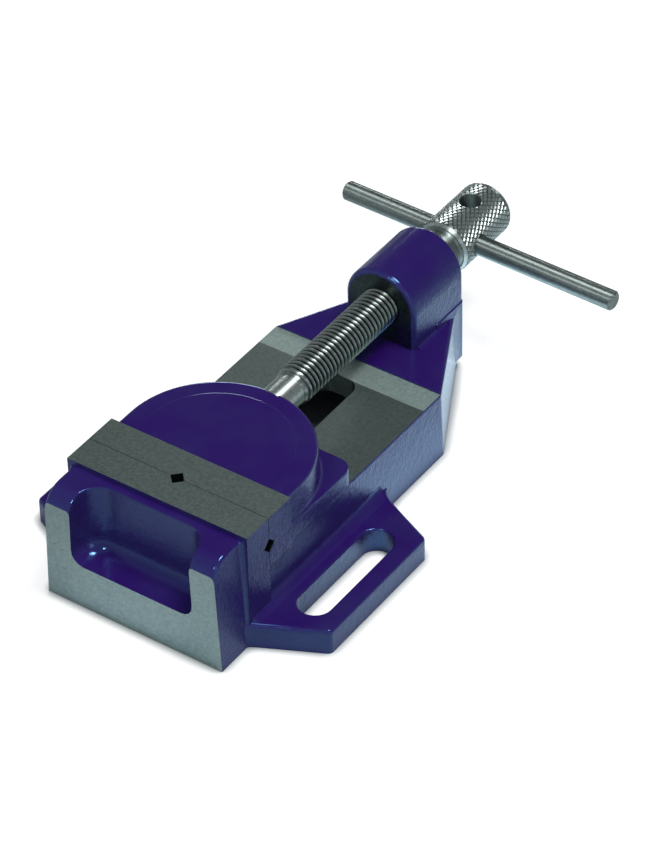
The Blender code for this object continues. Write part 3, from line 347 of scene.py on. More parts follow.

# The tone changes slowly with the coat. On upright faces a fine speckle is added, painted sheen
# for the mottled reflections of the lumps, which also makes those faces paler.
thickness = add_node(
    tree, "ShaderNodeMath", {"operation": 'MULTIPLY_ADD'},
    input_0=noise(tree, place, SHEEN_SPECK_GRAIN, 3.0), input_1=upright.outputs["Result"],
    input_2=noise(tree, place, COAT_GRAIN, 2.0))
halved = add_node(
    tree, "ShaderNodeMath", {"operation": 'MULTIPLY', "input_1": 0.5}, input_0=thickness.outputs[0])
tone = two_tone(tree, halved.outputs[0], COAT_AND_SHEEN_LOW, "2A0F5E", COAT_AND_SHEEN_HIGH, "302B62")
tree.links.new(tone, shader.inputs["Base Color"])
layers = []
for grain, height in SAND_LUMPS:
    lumps = add_node(
        tree, "ShaderNodeMath", {"operation": 'MULTIPLY'},
        input_0=noise(tree, place, grain, 2.0), input_1=upright.outputs["Result"])
    layers.append((lumps.outputs[0], height))
bumped(tree, shader, *layers)

# Enamel has an index near 1.5. A higher one matches how strongly the coat in the photo mirrors.
shader.inputs["Roughness"].default_value = 0.12
shader.inputs["IOR"].default_value = ENAMEL_IOR
shader.inputs["Specular Tint"].default_value = (*linear("84C4FF"), 1)
print("violet enamel in linear light:", [round(c, 3) for c in linear("2A0F5E")])

# %% [markdown]
# The bare faces are milled or ground iron: a dull green-grey metal with fine parallel scratches
# from the cutter and small dark pores where the cut opened the casting. The steels are brighter.
# Turned ones have fine rings, ground ones fine streaks. A noise stretched along the cut gives the
# coarsest scratches. Rings finer than the render can show still stretch each glint into a band
# across them, so the shader's anisotropy stands for those, with a tangent that runs round the axis.

# %% Bare metal
SCRATCH_SPACING = 0.4 * MM
SCRATCH_DEPTH = 0.012 * MM
STAIN_GRAIN = 1.6 * MM
SCRATCH_SHARE = 0.55
DARKEST_AT = 0.55
RING_STRETCH = 0.85
ACROSS_RINGS = 0.25
PORE_START = 0.71
PORE_CORE = 0.76
PORE_SHARE = 0.3


def bare_metal(name, stretch, dark, light, roughness):
    """Metal whose scratches follow the axes in which the pattern is stretched, a small share.

    Real scratches are finer. These are about as fine as the render can show.
    """
    material, tree, shader, place = new_material(name)
    stretched = add_node(tree, "ShaderNodeMapping", {"Scale": stretch}, Vector=place)
    scratches = noise(tree, stretched.outputs["Vector"], SCRATCH_SPACING, 4.0, 0.7)
    stains = noise(tree, place, STAIN_GRAIN, 5.0, 0.7)
    mixed = add_node(
        tree, "ShaderNodeMath", {"operation": 'MULTIPLY_ADD', "input_1": SCRATCH_SHARE},
        input_0=scratches, input_2=stains)
    tone = two_tone(tree, mixed.outputs[0], DARKEST_AT, dark, 1.0, light)
    tree.links.new(tone, shader.inputs["Base Color"])
    bumped(tree, shader, (scratches, SCRATCH_DEPTH))
    shader.inputs["Metallic"].default_value = 1.0
    shader.inputs["Roughness"].default_value = roughness
    return material


def darkened(material, factor, low, high, share):
    """Darken a metal's tone, to a share of itself at the low factor and not at the high one."""
    tree = material.node_tree
    shader = tree.nodes["Principled BSDF"]
    amount = add_node(
        tree, "ShaderNodeMapRange", {"From Min": low, "From Max": high, "To Min": share},
        Value=factor)
    mixed = add_node(
        tree, "ShaderNodeVectorMath", {"operation": 'SCALE'},
        input_0=shader.inputs["Base Color"].links[0].from_socket, Scale=amount.outputs["Result"])
    tree.links.new(mixed.outputs["Vector"], shader.inputs["Base Color"])


def ring_ground(material, axis):
    """Stretch a metal's glint along an axis, as fine grinding rings round that axis do."""
    tree = material.node_tree
    rings = add_node(tree, "ShaderNodeTangent", {"direction_type": 'RADIAL', "axis": axis})
    shader = tree.nodes["Principled BSDF"]
    shader.inputs["Anisotropic"].default_value = RING_STRETCH
    shader.inputs["Anisotropic Rotation"].default_value = ACROSS_RINGS
    tree.links.new(rings.outputs["Tangent"], shader.inputs["Tangent"])


def object_place(material):
    """Object coordinates of a material, for a further pattern."""
    return material.node_tree.nodes["Texture Coordinate"].outputs["Object"]


def add_pores(material, grain):
    """Small dark pores of the casting, in the peaks of a noise."""
    spots = noise(material.node_tree, object_place(material), grain, 1.0)
    darkened(material, spots, PORE_CORE, PORE_START, PORE_SHARE)


print("scratches", SCRATCH_SPACING / MM, "mm apart")

# %% Bare iron
LEFT_RIGHT = (0.1, 1, 1)
FRONT_BACK = (1, 0.1, 1)
NO_DIRECTION = (1, 1, 1)
BED_STRIP_START = 127.9 * MM
BED_STRIP_FULL = BED_STRIP_START + 0.3 * MM
BED_ROUGHNESS = 0.48
STRIP_ROUGHNESS = 0.6
BED_SHARE = 0.48

# Ground iron with a film of oil, which keeps it a dull, dark green-grey.
top_iron = bare_metal("ground_iron_top", LEFT_RIGHT, "6C7B78", "8E9E9B", 0.42)

# Freshly milled iron, paler, with the casting's pores as dark specks.
front_iron = bare_metal("milled_iron_front", LEFT_RIGHT, "90A2A4", "B2C3C1", 0.4)
add_pores(front_iron, 1.3 * MM)

# Turned iron, darker than the other bare faces, and smooth enough for a clear mirror.
boss_iron = bare_metal("turned_iron_boss", NO_DIRECTION, "4A5252", "6A7475", 0.3)

# The vees and the spigot bore are narrow hollows: their dull, nearly black tone is painted shade.
shaded_hollow_iron = bare_metal("shaded_iron_hollow", NO_DIRECTION, "2B3030", "3C4343", 0.5)

# The broken edges of bare faces: fresh smooth metal, made paler than that as a painted highlight,
# which shows them as thin light lines.
edge_iron_highlight = bare_metal("broken_iron_edge_highlight", NO_DIRECTION, "9AA6A3", "C4CECB", 0.3)

# Milled iron, darker over the front of the bed and paler and rougher on the strip behind that.
bed_iron = bare_metal("milled_iron_bed", FRONT_BACK, "90A39F", "B4C6C2", BED_ROUGHNESS)
tree = bed_iron.node_tree
along_bed = add_node(tree, "ShaderNodeSeparateXYZ", Vector=object_place(bed_iron)).outputs["Y"]
darkened(bed_iron, along_bed, BED_STRIP_START, BED_STRIP_FULL, BED_SHARE)
rougher = add_node(
    tree, "ShaderNodeMapRange",
    {"From Min": BED_STRIP_START, "From Max": BED_STRIP_FULL, "To Min": BED_ROUGHNESS,
     "To Max": STRIP_ROUGHNESS},
    Value=along_bed)
tree.links.new(rougher.outputs["Result"], tree.nodes["Principled BSDF"].inputs["Roughness"])
print("the bed's pale strip starts at y =", round(BED_STRIP_START / MM, 1), "mm")

# %% Steel
RINGS = (0.04, 1, 0.04)
THREAD_RINGS = (0.1, 1, 0.1)
BAR_STREAKS = (0.06, 1, 1)

# Turned steel, wiped clean: the brightest metal of the vise.
ringed_steel = bare_metal("turned_steel", RINGS, "A9B5B2", "DCE4E1", 0.4)

# Turned steel, a good deal darker: painted shade for the collar and neck close behind the boss,
# and for the head's holes.
shaded_steel = bare_metal("shaded_turned_steel", RINGS, "7B8784", "A5B0AD", 0.42)

# Thread-cut steel, smooth on the crests, where it glints.
thread_steel = bare_metal("thread_steel", THREAD_RINGS, "8A9592", "B4BEBB", 0.34)

# Steel as the knurling rollers press it, bright on the diamonds' tops; the roots between them
# get painted shade further on.
knurl_steel = bare_metal("knurl_steel", NO_DIRECTION, "98A3A0", "C4CDCA", 0.36)

# Ground steel, dull and even, with one long soft glint.
bar_steel = bare_metal("ground_bar_steel", BAR_STREAKS, "7B8784", "A5B0AD", 0.42)

# Milled plate, blackened screws and plain spring steel, which stay in the castings' shade.
plate_steel = bare_metal("milled_plate_steel", LEFT_RIGHT, "6A7272", "8A9393", 0.4)
dark_steel = bare_metal("blackened_steel", NO_DIRECTION, "26292B", "3B3F41", 0.45)
spring_steel = bare_metal("spring_steel", NO_DIRECTION, "767E80", "98A0A2", 0.35)
for material in (ringed_steel, shaded_steel, thread_steel):
    ring_ground(material, 'Y')
ring_ground(bar_steel, 'X')
print("steels ready, with glints stretched by", RING_STRETCH)

# %% [markdown]
# ## The castings
#
# The solids already have the castings' shapes. What they lack is the small break on each hard
# edge, which on the real vise shows as a thin light line. Modelling both castings again would only
# risk other sizes, so each solid is copied. The copy is merged, because a imported mesh is loose
# triangles, its flat faces are joined, and its hard edges are bevelled by 0.3 millimetres.
# Faces that lie in a machined plane or a cut hollow then get bare iron, and the strip of the bevel
# beside a machined plane gets a pale iron, partly a painted highlight.

# %% Turning and cutting
ALONG_X = Matrix.Rotation(math.radians(-90), 4, 'Z')
ALONG_Z = Matrix.Rotation(math.radians(90), 4, 'X')
AXIS = Vector((0, 1, 0))
screw_low, screw_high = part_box("lead_screw")
AXIS_HEIGHT = (screw_low[2] + screw_high[2]) / 2
AXIS_PLACE = Matrix.Translation((0, 0, AXIS_HEIGHT))
REST_TURN = math.radians(1.25)
AT_REST = AXIS_PLACE @ Matrix.Rotation(REST_TURN, 4, 'Y')
SLANT = Vector((1, 17, 301))


def profile_chain(bm, points):
    """Chain of edges through (place along the axis, radius) points."""
    verts = [bm.verts.new((0, place, radius)) for place, radius in points]
    return verts + [bm.edges.new(pair) for pair in zip(verts, verts[1:])]


def turned(points, steps, matrix):
    """Bmesh of a solid turned from a profile in millimetres that starts and ends on its axis."""
    bm = bmesh.new()
    chain = profile_chain(bm, [(place * MM, radius * MM) for place, radius in points])
    bmesh.ops.spin(
        bm, geom=chain, cent=(0, 0, 0), axis=AXIS, angle=2 * math.pi, steps=steps,
        use_merge=True, use_duplicate=False)
    bmesh.ops.remove_doubles(bm, verts=bm.verts, dist=0.001 * MM)
    bmesh.ops.recalc_face_normals(bm, faces=bm.faces)
    bmesh.ops.transform(bm, matrix=matrix, verts=bm.verts)
    return bm


def combined(bm, others, operation):
    """Bmesh of a body joined with, cut by or limited to others by exact Booleans.

    The Booleans return their points in no fixed order. Sorting them along a slant makes the
    merge that follows the same on each run.
    """
    item = new_object("body", bm)
    tools = [new_object("tool", other) for other in others]
    for tool in tools:
        modifier = item.modifiers.new("shape", 'BOOLEAN')
        modifier.operation = operation
        modifier.solver = 'EXACT'
        modifier.object = tool
    bpy.context.view_layer.update()
    graph = bpy.context.evaluated_depsgraph_get()
    result = bmesh.new()
    result.from_object(item, graph)
    for used in [item] + tools:
        bpy.data.objects.remove(used)
    result.verts.sort(key=lambda vert: vert.co.dot(SLANT))
    result.edges.sort(key=lambda edge: (edge.verts[0].co + edge.verts[1].co).dot(SLANT))
    result.faces.sort(key=lambda face: face.calc_center_median().dot(SLANT))
    bmesh.ops.remove_doubles(result, verts=result.verts, dist=0.002 * MM)
    return result


print("the screw's axis is", round(AXIS_HEIGHT / MM, 2), "mm up")

# %% Copies of the solids with broken edges
HARD_ANGLE = math.radians(32)
FLAT_ANGLE = math.radians(0.6)
EDGE_BREAK = 0.3 * MM


def merged_copy(node):
    """Bmesh of a solid with its points merged and its flat faces joined."""
    bm = bmesh.new()
    bm.from_mesh(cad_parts[node].data)
    bmesh.ops.remove_doubles(bm, verts=bm.verts, dist=0.003 * MM)
    bmesh.ops.dissolve_limit(bm, angle_limit=FLAT_ANGLE, verts=bm.verts, edges=bm.edges)
    return bm


def break_edges(bm, width, segments, wanted=None):
    """Bevel the hard edges, or the wanted ones of them, and return the new faces."""
    hard = [
        edge for edge in bm.edges
        if edge.is_manifold and edge.calc_face_angle() > HARD_ANGLE
        and (wanted is None or wanted(edge))]
    made = bmesh.ops.bevel(
        bm, geom=hard, offset=width, offset_type='OFFSET', segments=segments, profile=0.5,
        affect='EDGES', clamp_overlap=True, material=-1)
    return made["faces"]


def smooth_shading(bm, limit):
    """Shade smooth across edges up to an angle."""
    for face in bm.faces:
        face.smooth = True
    for edge in bm.edges:
        edge.smooth = not edge.is_manifold or edge.calc_face_angle() < limit


print("hard edges are broken by", round(EDGE_BREAK / MM, 2), "mm")

# %% Bare faces of a casting
UP = Vector((0, 0, 1))
FRONT = Vector((0, -1, 0))
SAME_WAY = 0.999
PLANE_REACH = 0.05 * MM
CASTING_METALS = [enamel, top_iron, front_iron, bed_iron, boss_iron, shaded_hollow_iron, edge_iron_highlight]


def machined_plane(face, planes):
    """Metal of the machined plane that a face lies in, or None."""
    for metal, normal, place in planes:
        level = face.calc_center_median().dot(normal)
        if face.normal.dot(normal) > SAME_WAY and abs(level - place) < PLANE_REACH:
            return metal
    return None


def machined_hollow(face, hollows):
    """Metal of the cut hollow whose box, in millimetres, holds a face's middle, or None."""
    middle = face.calc_center_median() / MM
    for metal, low, high in hollows:
        if all(a <= value <= b for a, value, b in zip(low, middle, high)):
            return metal
    return None


def bare_faces(bm, breaks, planes, hollows):
    """Give machined faces, and the broken edges beside them, their metals."""
    for face in bm.faces:
        metal = machined_plane(face, planes) or machined_hollow(face, hollows) or enamel
        face.material_index = CASTING_METALS.index(metal)
    bare = {CASTING_METALS.index(metal) for metal, normal, place in planes}
    for face in breaks:
        beside = {other.material_index for edge in face.edges for other in edge.link_faces}
        # The bevel strips beside bare faces get the pale edge iron, partly a painted highlight.
        if face.material_index == 0 and beside & bare:
            face.material_index = CASTING_METALS.index(edge_iron_highlight)


print("metals of a casting:", [material.name for material in CASTING_METALS])

# %% A finished casting
CROWN_FILLET = 0.9 * MM
CASTING_SMOOTH = math.radians(40)

# At full weight the large faces alone set the normals, so they stay flat beside the bevels.
BY_FACE_SIZE = 100


def casting(name, node, body, planes, hollows, seat=None, fillet=None):
    """Enamelled casting with bare machined faces and hollows, in place of its solid."""
    bm = merged_copy(node)
    if seat:
        bm = combined(bm, [seat], 'DIFFERENCE')
    if fillet:
        break_edges(bm, CROWN_FILLET, 3, fillet)
    breaks = [face for face in break_edges(bm, EDGE_BREAK, 2) if face.is_valid]
    smooth_shading(bm, CASTING_SMOOTH)
    bare_faces(bm, breaks, planes, hollows)
    open_edges = sum(not edge.is_manifold for edge in bm.edges)
    item = new_object(name, bm)
    for material in CASTING_METALS:
        item.data.materials.append(material)
    flat_faces = item.modifiers.new("flat_faces", 'WEIGHTED_NORMAL')
    flat_faces.keep_sharp = True
    flat_faces.weight = BY_FACE_SIZE
    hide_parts(node)
    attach(item, body)
    print(name, len(item.data.polygons), "faces,", open_edges, "open edges")


print("fillet round the pad's crown:", round(CROWN_FILLET / MM, 2), "mm")

# %% The two castings
JAW_TOP = 64.4 * MM
BED = 35.8 * MM
SLIDE_GAP = 0.3 * MM
FRONT_END = 37.6 * MM
BOSS_FACE = 161.9 * MM
PAD_CENTRE = Vector((0, 27.9 * MM, 0))
CROWN_RADIUS = 37.4 * MM
PAD_TOP = 63.6 * MM

# Each hollow has its metal and the corners, in millimetres, of a box just larger than itself.
BED_SLOT = (bed_iron, (-11.8, 6, 22.6), (11.8, 128.6, 35.7))
BOSS_BORE = (boss_iron, (-10.5, 161.8, 45), (10.5, 204, 66.2))
# The spigot bore takes the same nearly black painted shade as the vees.
SPIGOT_BORE = (shaded_hollow_iron, (-8.8, 50, 47), (8.8, 75.5, 63.3))

# The screw's nose bears on a round seat that is sunk into the jaw's rear.
NOSE_SEAT = [(72.6, 0), (72.6, 8.7), (80, 8.7), (80, 0)]


def vees(low, high):
    """Hollows of a jaw's upright and level vee, between two places along the vise."""
    return [
        (shaded_hollow_iron, (-4.1, low, 35.9), (4.1, high, 64.3)),
        (shaded_hollow_iron, (-50, low, 44.2), (50, high, 52.4))]


def at_crown_root(edge):
    """Whether an edge lies where the pad's raised crown meets the pad."""
    for vert in edge.verts:
        out = Vector((vert.co.x, vert.co.y, 0)) - PAD_CENTRE
        if abs(vert.co.z - PAD_TOP) > 0.02 * MM or abs(out.length - CROWN_RADIUS) > 0.3 * MM:
            return False
    return True


casting(
    "body_casting", "vise_body", "frame", [
        (top_iron, UP, JAW_TOP), (bed_iron, UP, BED), (top_iron, -UP, 0), (top_iron, -FRONT, 0),
        (front_iron, FRONT, FRONT_END), (boss_iron, FRONT, -BOSS_FACE)],
    [BED_SLOT, BOSS_BORE] + vees(-4, -0.05))
casting(
    "sliding_jaw_casting", "sliding_jaw", "jaw", [
        (top_iron, UP, JAW_TOP), (top_iron, FRONT, -SLIDE_GAP), (top_iron, -UP, -BED - SLIDE_GAP)],
    vees(0.35, 4.3) + [SPIGOT_BORE], turned(NOSE_SEAT, 72, AT_REST), at_crown_root)

# %% [markdown]
# ## The screw's thread
#
# A single-start right-hand thread, nine to the inch, with rounded crests and roots. It could be a
# picture on a plain rod, but its silhouette shows against the bed. So one pitch of the profile is
# spun round the axis while it climbs, which is how a lathe cuts it. The band of one turn is
# doubled along the axis until it is long enough, merged into one skin, cut square at both ends and
# closed. A cone at its start lets the crests grow out of the nose, as they do on the real screw.

# %% A finished piece
TURNED_SMOOTH = math.radians(28)
BEVELLED_SMOOTH = math.radians(35)


def add_piece(name, bm, body, material, limit, node=None):
    """Finish a piece, let it ride its body and, where a node is given, replace that solid."""
    smooth_shading(bm, limit)
    open_edges = sum(not edge.is_manifold for edge in bm.edges)
    item = new_object(name, bm)
    item.data.materials.append(material)
    if node:
        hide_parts(node)
    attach(item, body)
    print(name, len(item.data.polygons), "faces,", open_edges, "open edges")
    return item


print("a turned piece is smooth across edges up to", round(math.degrees(TURNED_SMOOTH)), "degrees")

# %% The thread's profile
THREAD_START = 86.8 * MM
THREAD_END = 204.9 * MM
PITCH = 25.4 * MM / 9
CREST_RADIUS = 9.9 * MM
THREAD_DEPTH = 1.6 * MM
CREST_BREADTH = 0.75
PROFILE_POINTS = 10


def thread_profile():
    """One pitch of the thread from root to root, with a broad crest and a narrower root."""
    points = []
    for index in range(PROFILE_POINTS + 1):
        share = index / PROFILE_POINTS
        rise = (0.5 - 0.5 * math.cos(2 * math.pi * share)) ** CREST_BREADTH
        points.append(
            (THREAD_START - PITCH + share * PITCH, CREST_RADIUS - THREAD_DEPTH * (1 - rise)))
    return points


print("pitch", round(PITCH / MM, 2), "mm,", round((THREAD_END - THREAD_START) / PITCH), "threads")

# %% The threaded rod
NOSE_RADIUS = 8.4 * MM
START_SLOPE = 0.28
STEPS_A_TURN = 48
THREAD_SMOOTH = math.radians(60)


def rim_at(bm, place):
    """Open edges that lie square to the axis at a place along it."""
    return [
        edge for edge in bm.edges
        if edge.is_boundary and all(abs(vert.co.y - place) < 0.01 * MM for vert in edge.verts)]


def threaded_rod():
    """Closed bmesh of the threaded rod, with its start turned down to the nose."""
    bm = bmesh.new()
    bmesh.ops.spin(
        bm, geom=profile_chain(bm, thread_profile()), cent=(0, 0, 0), axis=AXIS,
        angle=2 * math.pi, dvec=AXIS * (PITCH / STEPS_A_TURN), steps=STEPS_A_TURN,
        use_merge=False, use_duplicate=False)
    turns = 1
    while turns * PITCH < THREAD_END - THREAD_START + 2 * PITCH:
        made = bmesh.ops.duplicate(bm, geom=bm.verts[:] + bm.edges[:] + bm.faces[:])["geom"]
        next_turns = [item for item in made if isinstance(item, bmesh.types.BMVert)]
        bmesh.ops.translate(bm, vec=AXIS * (turns * PITCH), verts=next_turns)
        turns *= 2
    bmesh.ops.remove_doubles(bm, verts=bm.verts, dist=0.02 * MM)
    for place, keep in ((THREAD_START, AXIS), (THREAD_END, -AXIS)):
        bmesh.ops.bisect_plane(
            bm, geom=bm.verts[:] + bm.edges[:] + bm.faces[:], dist=0.001 * MM,
            plane_co=(0, place, 0), plane_no=-keep, clear_outer=True)
        bmesh.ops.holes_fill(bm, edges=rim_at(bm, place), sides=0)
    for vert in bm.verts:
        radius = math.hypot(vert.co.x, vert.co.z)
        most = NOSE_RADIUS + START_SLOPE * (vert.co.y - THREAD_START)
        if radius > most:
            vert.co.x *= most / radius
            vert.co.z *= most / radius
    bmesh.ops.recalc_face_normals(bm, faces=bm.faces)
    bmesh.ops.transform(bm, matrix=AT_REST, verts=bm.verts)
    return bm


add_piece(
    "screw_thread", threaded_rod(), "screw", thread_steel, THREAD_SMOOTH,
    "lead_screw")

# %% [markdown]
# In front of the thread the screw is turned down to a plain nose, whose grooved spigot turns in
# the jaw. Behind it come the collar and a waisted neck. Cylinders stacked along the axis would
# need many joints. One outline, spun round the axis, gives each of the two as one closed solid.

# %% The nose, the collar and the neck
# A profile's points are a place along the vise and a radius, in millimetres.
NOSE_PROFILE = [
    (52.0, 0), (52.0, 4.0), (53.0, 5.0), (59.9, 5.0), (59.9, 3.6), (64.1, 3.6), (64.1, 5.0),
    (72.9, 5.0), (72.9, 8.1), (73.2, 8.4), (87.0, 8.4), (87.6, 8.0), (88.6, 8.0), (88.6, 0)]
NECK_PROFILE = [
    (203.4, 0), (203.4, 9.4), (204.6, 9.4), (204.6, 12.6), (205.2, 13.2), (210.4, 13.2),
    (211.2, 12.5), (211.8, 11.5), (212.4, 11.3), (214.4, 11.3), (215.0, 11.7), (215.6, 12.4),
    (216.4, 12.4), (216.4, 0)]
for name, profile, metal in (
        ("screw_nose", NOSE_PROFILE, ringed_steel),
        ("screw_collar_and_neck", NECK_PROFILE, shaded_steel)):
    add_piece(
        name, turned(profile, 72, AT_REST), "screw", metal, TURNED_SMOOTH)

# %% [markdown]
# The knurl on the head is two sets of slanted grooves that leave small diamonds. Cutting hundreds
# of grooves would be slow. Instead a sleeve of plain quads is spun, each quad is poked at its
# middle, and the quads' own edges are dissolved, which leaves diamonds on the slant. Each diamond
# is then inset and lifted, which makes a low pyramid with a flat top. The two cross holes are cut
# last, each with a wide countersink at both ends.

# %% The knurled head
HEAD_START = 215.3 * MM
HEAD_END = screw_high[1]
HEAD_RADIUS = (screw_high[2] - screw_low[2]) / 2
KNURL_HEIGHT = 0.4 * MM
KNURL_FLANK = 0.52 * MM
KNURLS_AROUND = 34
KNURLS_ALONG = 10
KNURL_BASE = HEAD_RADIUS - KNURL_HEIGHT
KNURL_START = HEAD_START + 1.4 * MM
KNURL_END = HEAD_END - 1.3 * MM
START_CHAMFER = 1.1 * MM
END_CHAMFER = 0.9 * MM


def on_knurl_base(bm):
    """Put every point at the radius of the knurl's roots."""
    for vert in bm.verts:
        radius = math.hypot(vert.co.x, vert.co.z)
        vert.co.x *= KNURL_BASE / radius
        vert.co.z *= KNURL_BASE / radius


def close_end(bm, place, end_place, end_radius):
    """Draw the sleeve's rim in to an end of a smaller radius, and close it."""
    made = bmesh.ops.extrude_edge_only(bm, edges=rim_at(bm, place))["geom"]
    ring = [item for item in made if isinstance(item, bmesh.types.BMVert)]
    share = end_radius / KNURL_BASE
    bmesh.ops.scale(bm, vec=(share, 1, share), verts=ring)
    bmesh.ops.translate(bm, vec=(0, end_place - place, 0), verts=ring)
    bmesh.ops.holes_fill(bm, edges=rim_at(bm, end_place), sides=0)


def knurled_head():
    """Closed bmesh of the head with its knurl and its two chamfered ends."""
    bm = bmesh.new()
    step = (KNURL_END - KNURL_START) / KNURLS_ALONG
    places = [KNURL_START + step * index for index in range(KNURLS_ALONG + 1)]
    bmesh.ops.spin(
        bm, geom=profile_chain(bm, [(place, KNURL_BASE) for place in places]), cent=(0, 0, 0),
        axis=AXIS, angle=2 * math.pi, steps=KNURLS_AROUND, use_merge=True, use_duplicate=False)
    bmesh.ops.remove_doubles(bm, verts=bm.verts, dist=0.001 * MM)
    face = bm.faces[:][0]
    middle = face.calc_center_median()
    if face.normal.dot(Vector((middle.x, 0, middle.z))) < 0:
        bmesh.ops.reverse_faces(bm, faces=bm.faces)
    quad_edges = set(bm.edges)
    bmesh.ops.poke(bm, faces=bm.faces[:])
    inner = [edge for edge in bm.edges if edge in quad_edges and not edge.is_boundary]
    bmesh.ops.dissolve_edges(bm, edges=inner, use_verts=False)
    on_knurl_base(bm)
    diamonds = [face for face in bm.faces if len(face.verts) == 4]
    bmesh.ops.inset_individual(
        bm, faces=diamonds, thickness=KNURL_FLANK, depth=KNURL_HEIGHT, use_even_offset=True)
    close_end(bm, KNURL_START, HEAD_START, KNURL_BASE - START_CHAMFER)
    close_end(bm, KNURL_END, HEAD_END, KNURL_BASE - END_CHAMFER)
    bmesh.ops.recalc_face_normals(bm, faces=bm.faces)
    bmesh.ops.transform(bm, matrix=AT_REST, verts=bm.verts)
    return bm


print("knurl of", KNURLS_AROUND, "by", KNURLS_ALONG, "quads,", KNURL_HEIGHT / MM, "mm high")

# %% The cross holes
BAR_PLACE = 228 * MM
CROSS_HOLE_PLACE = 239.8 * MM
MOUTH_REACH = 6 * MM
KNURL_SMOOTH = math.radians(20)
HOLE_PROFILE = [(-18, 0), (-18, 9.6), (-13.6, 5.5), (13.6, 5.5), (18, 9.6), (18, 0)]
ACROSS_AT_BAR = AT_REST @ Matrix.Translation((0, BAR_PLACE, 0)) @ ALONG_X
UPRIGHT_AT_END = AT_REST @ Matrix.Translation((0, CROSS_HOLE_PLACE, 0)) @ ALONG_Z

holes = [turned(HOLE_PROFILE, 48, ACROSS_AT_BAR), turned(HOLE_PROFILE, 48, UPRIGHT_AT_END)]
head = add_piece(
    "screw_head", combined(knurled_head(), holes, 'DIFFERENCE'), "screw",
    knurl_steel, KNURL_SMOOTH)

# The plain ends are turned bright; the holes and their mouths get the darker steel, painted shade.
head.data.materials.append(ringed_steel)
head.data.materials.append(shaded_steel)
for face in head.data.polygons:
    middle = face.center
    radius = math.hypot(middle.x, middle.z - AXIS_HEIGHT)
    if not KNURL_START < middle.y < KNURL_END:
        face.material_index = 1
    elif radius < KNURL_BASE or math.hypot(middle.x, middle.y - CROSS_HOLE_PLACE) < MOUTH_REACH:
        face.material_index = 2

# %% [markdown]
# The roots of the thread and the knurl lie in shade, which makes the crests stand out. That shade
# is painted: it could be painted by hand, but here the distance from the screw's axis tells a root
# from a crest, and the roots are darkened. The start of the thread is turned down to the nose and
# would all count as root, so a height that fades out over the first six millimetres is added there.

# %% Painted shade in the roots
ROOT_SHADE_FADE = 6 * MM


def shaded_roots(material, low, high, share):
    """Darken a metal to a share of itself at the low radius from the screw's axis, as painted
    shade.
    """
    tree = material.node_tree
    from_axis = add_node(
        tree, "ShaderNodeMapping", {"Location": (0, 0, -AXIS_HEIGHT), "Scale": (1, 0, 1)},
        Vector=object_place(material))
    radius = add_node(
        tree, "ShaderNodeVectorMath", {"operation": 'LENGTH'}, input_0=from_axis.outputs[0])
    along_screw = add_node(tree, "ShaderNodeSeparateXYZ", Vector=object_place(material))
    start = add_node(
        tree, "ShaderNodeMapRange",
        {"From Min": THREAD_START, "From Max": THREAD_START + ROOT_SHADE_FADE,
         "To Min": THREAD_DEPTH, "To Max": 0.0},
        Value=along_screw.outputs["Y"])
    root_shade_radius = add_node(
        tree, "ShaderNodeMath", {"operation": 'ADD'},
        input_0=radius.outputs["Value"], input_1=start.outputs["Result"])
    darkened(material, root_shade_radius.outputs[0], low, high, share)


for material, low, high, share in (
        (thread_steel, CREST_RADIUS - 1.1 * MM, CREST_RADIUS - 0.1 * MM, 0.06),
        (knurl_steel, KNURL_BASE - 0.1 * MM, HEAD_RADIUS - 0.05 * MM, 0.22)):
    shaded_roots(material, low, high, share)
    print(material.name, "is dark below a radius of", round(low / MM, 2), "mm")

# %% [markdown]
# ## The cross bar
#
# A length of ground rod, ten millimetres thick, with a small chamfer at each end. A bevelled
# cylinder would do too. It is turned from its profile like the screw, about its own axis, so that
# the chamfers have their real sizes, and laid across the head.

# %% The bar
BAR_PROFILE = [
    (-64.6, 0), (-64.6, 3.9), (-64.3, 4.3), (-63.5, 5.0), (89.1, 5.0), (89.9, 4.3), (90.2, 3.9),
    (90.2, 0)]
add_piece(
    "cross_bar", turned(BAR_PROFILE, 72, ACROSS_AT_BAR), "bar", bar_steel,
    TURNED_SMOOTH, "tommy_bar")

# %% [markdown]
# ## Under the bed
#
# A plate below the bed is drawn up to the sliding jaw's tongue by two hexagon head screws with
# split spring washers, and two pins hold the screw's spigot in the jaw. Nothing of them shows in
# the photo. The solids could stay as they are, but a look from below would find plain hexagons and
# closed rings, so they get the chamfers, the split and the bevels of stock pieces.

# %% The hexagon screws and their washers
SCREW_PLACES = (("front", 21 * MM), ("rear", 45 * MM))
ACROSS_FLATS = 13 * MM
HEAD_LOW = 10 * MM
HEAD_HIGH = 15.3 * MM
HEAD_CHAMFER_PROFILE = [(9.5, 0), (9.5, 5.9), (11.2, 8.6), (15.4, 8.6), (15.4, 0)]
SHANK_PROFILE = [(15.0, 0), (15.0, 4.0), (41.7, 4.0), (42.5, 3.2), (42.5, 0)]
WASHER_LOW = 15.6 * MM
WASHER_THICKNESS = 1.6 * MM
WASHER_INNER = 4.3 * MM
WASHER_OUTER = 7 * MM
WASHER_GAP = math.radians(7)
WASHER_BREAK = 0.15 * MM


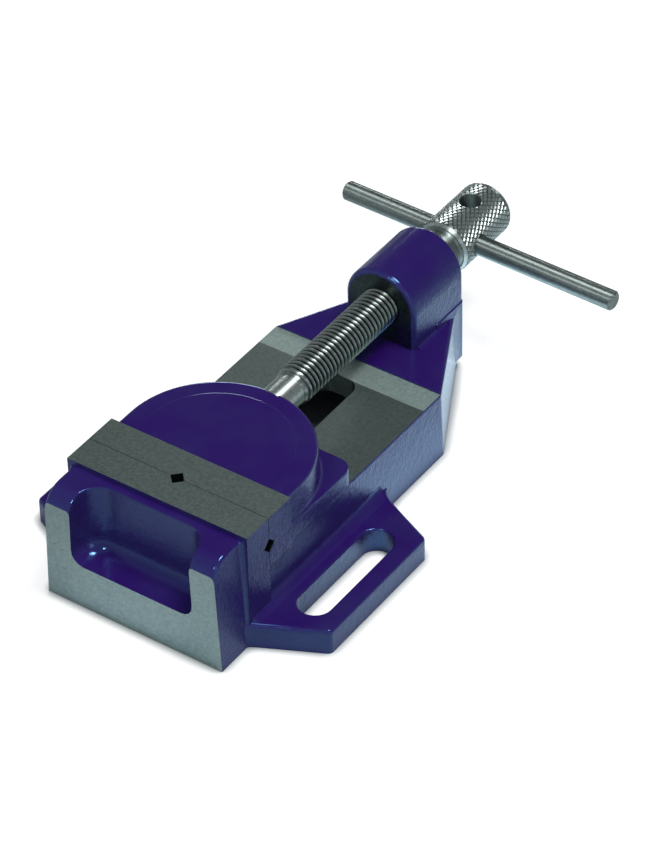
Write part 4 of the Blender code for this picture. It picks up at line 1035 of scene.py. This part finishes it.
def hexagon():
    """Bmesh of a screw's upright hexagon prism."""
    bm = bmesh.new()
    bmesh.ops.create_cone(
        bm, cap_ends=True, segments=6, radius1=ACROSS_FLATS / math.sqrt(3),
        radius2=ACROSS_FLATS / math.sqrt(3), depth=HEAD_HIGH - HEAD_LOW,
        matrix=Matrix.Translation((0, 0, (HEAD_HIGH + HEAD_LOW) / 2)))
    return bm


def hexagon_screw():
    """Bmesh of a chamfered hexagon head on its plain shank."""
    head = combined(hexagon(), [turned(HEAD_CHAMFER_PROFILE, 48, ALONG_Z)], 'INTERSECT')
    return combined(head, [turned(SHANK_PROFILE, 32, ALONG_Z)], 'UNION')


def split_ring():
    """Bmesh of a spring washer, round the upright axis from its lower face upward."""
    bm = bmesh.new()
    corners = [
        (WASHER_INNER, 0), (WASHER_OUTER, 0), (WASHER_OUTER, WASHER_THICKNESS),
        (WASHER_INNER, WASHER_THICKNESS)]
    face = bm.faces.new([bm.verts.new((radius, 0, height)) for radius, height in corners])
    bmesh.ops.spin(
        bm, geom=[face] + face.edges[:] + face.verts[:], cent=(0, 0, 0), axis=UP,
        angle=2 * math.pi - WASHER_GAP, steps=46, use_merge=False, use_duplicate=False)
    bmesh.ops.recalc_face_normals(bm, faces=bm.faces)
    break_edges(bm, WASHER_BREAK, 1)
    return bm


for name, place in SCREW_PLACES:
    screw = hexagon_screw()
    bmesh.ops.transform(screw, matrix=Matrix.Translation((0, place, 0)), verts=screw.verts)
    add_piece(
        "hexagon_screw_" + name, screw, "jaw", dark_steel, TURNED_SMOOTH,
        "keeper_screw_" + name)
    washer = split_ring()
    bmesh.ops.transform(
        washer, matrix=Matrix.Translation((0, place, WASHER_LOW)), verts=washer.verts)
    add_piece(
        "spring_washer_" + name, washer, "jaw", spring_steel, BEVELLED_SMOOTH,
        "lock_washer_" + name)

# %% The keeper plate and the pins
for name, node, width, slot, metal in (
        ("keeper_plate_bevelled", "keeper_plate", 0.5 * MM, "plate_steel", plate_steel),
        ("spigot_pin_left", "retaining_pin_left", 0.25 * MM, "pin_steel", spring_steel),
        ("spigot_pin_right", "retaining_pin_right", 0.25 * MM, "pin_steel", spring_steel)):
    bm = merged_copy(node)
    break_edges(bm, width, 2)
    add_piece(name, bm, "jaw", metal, BEVELLED_SMOOTH, node)
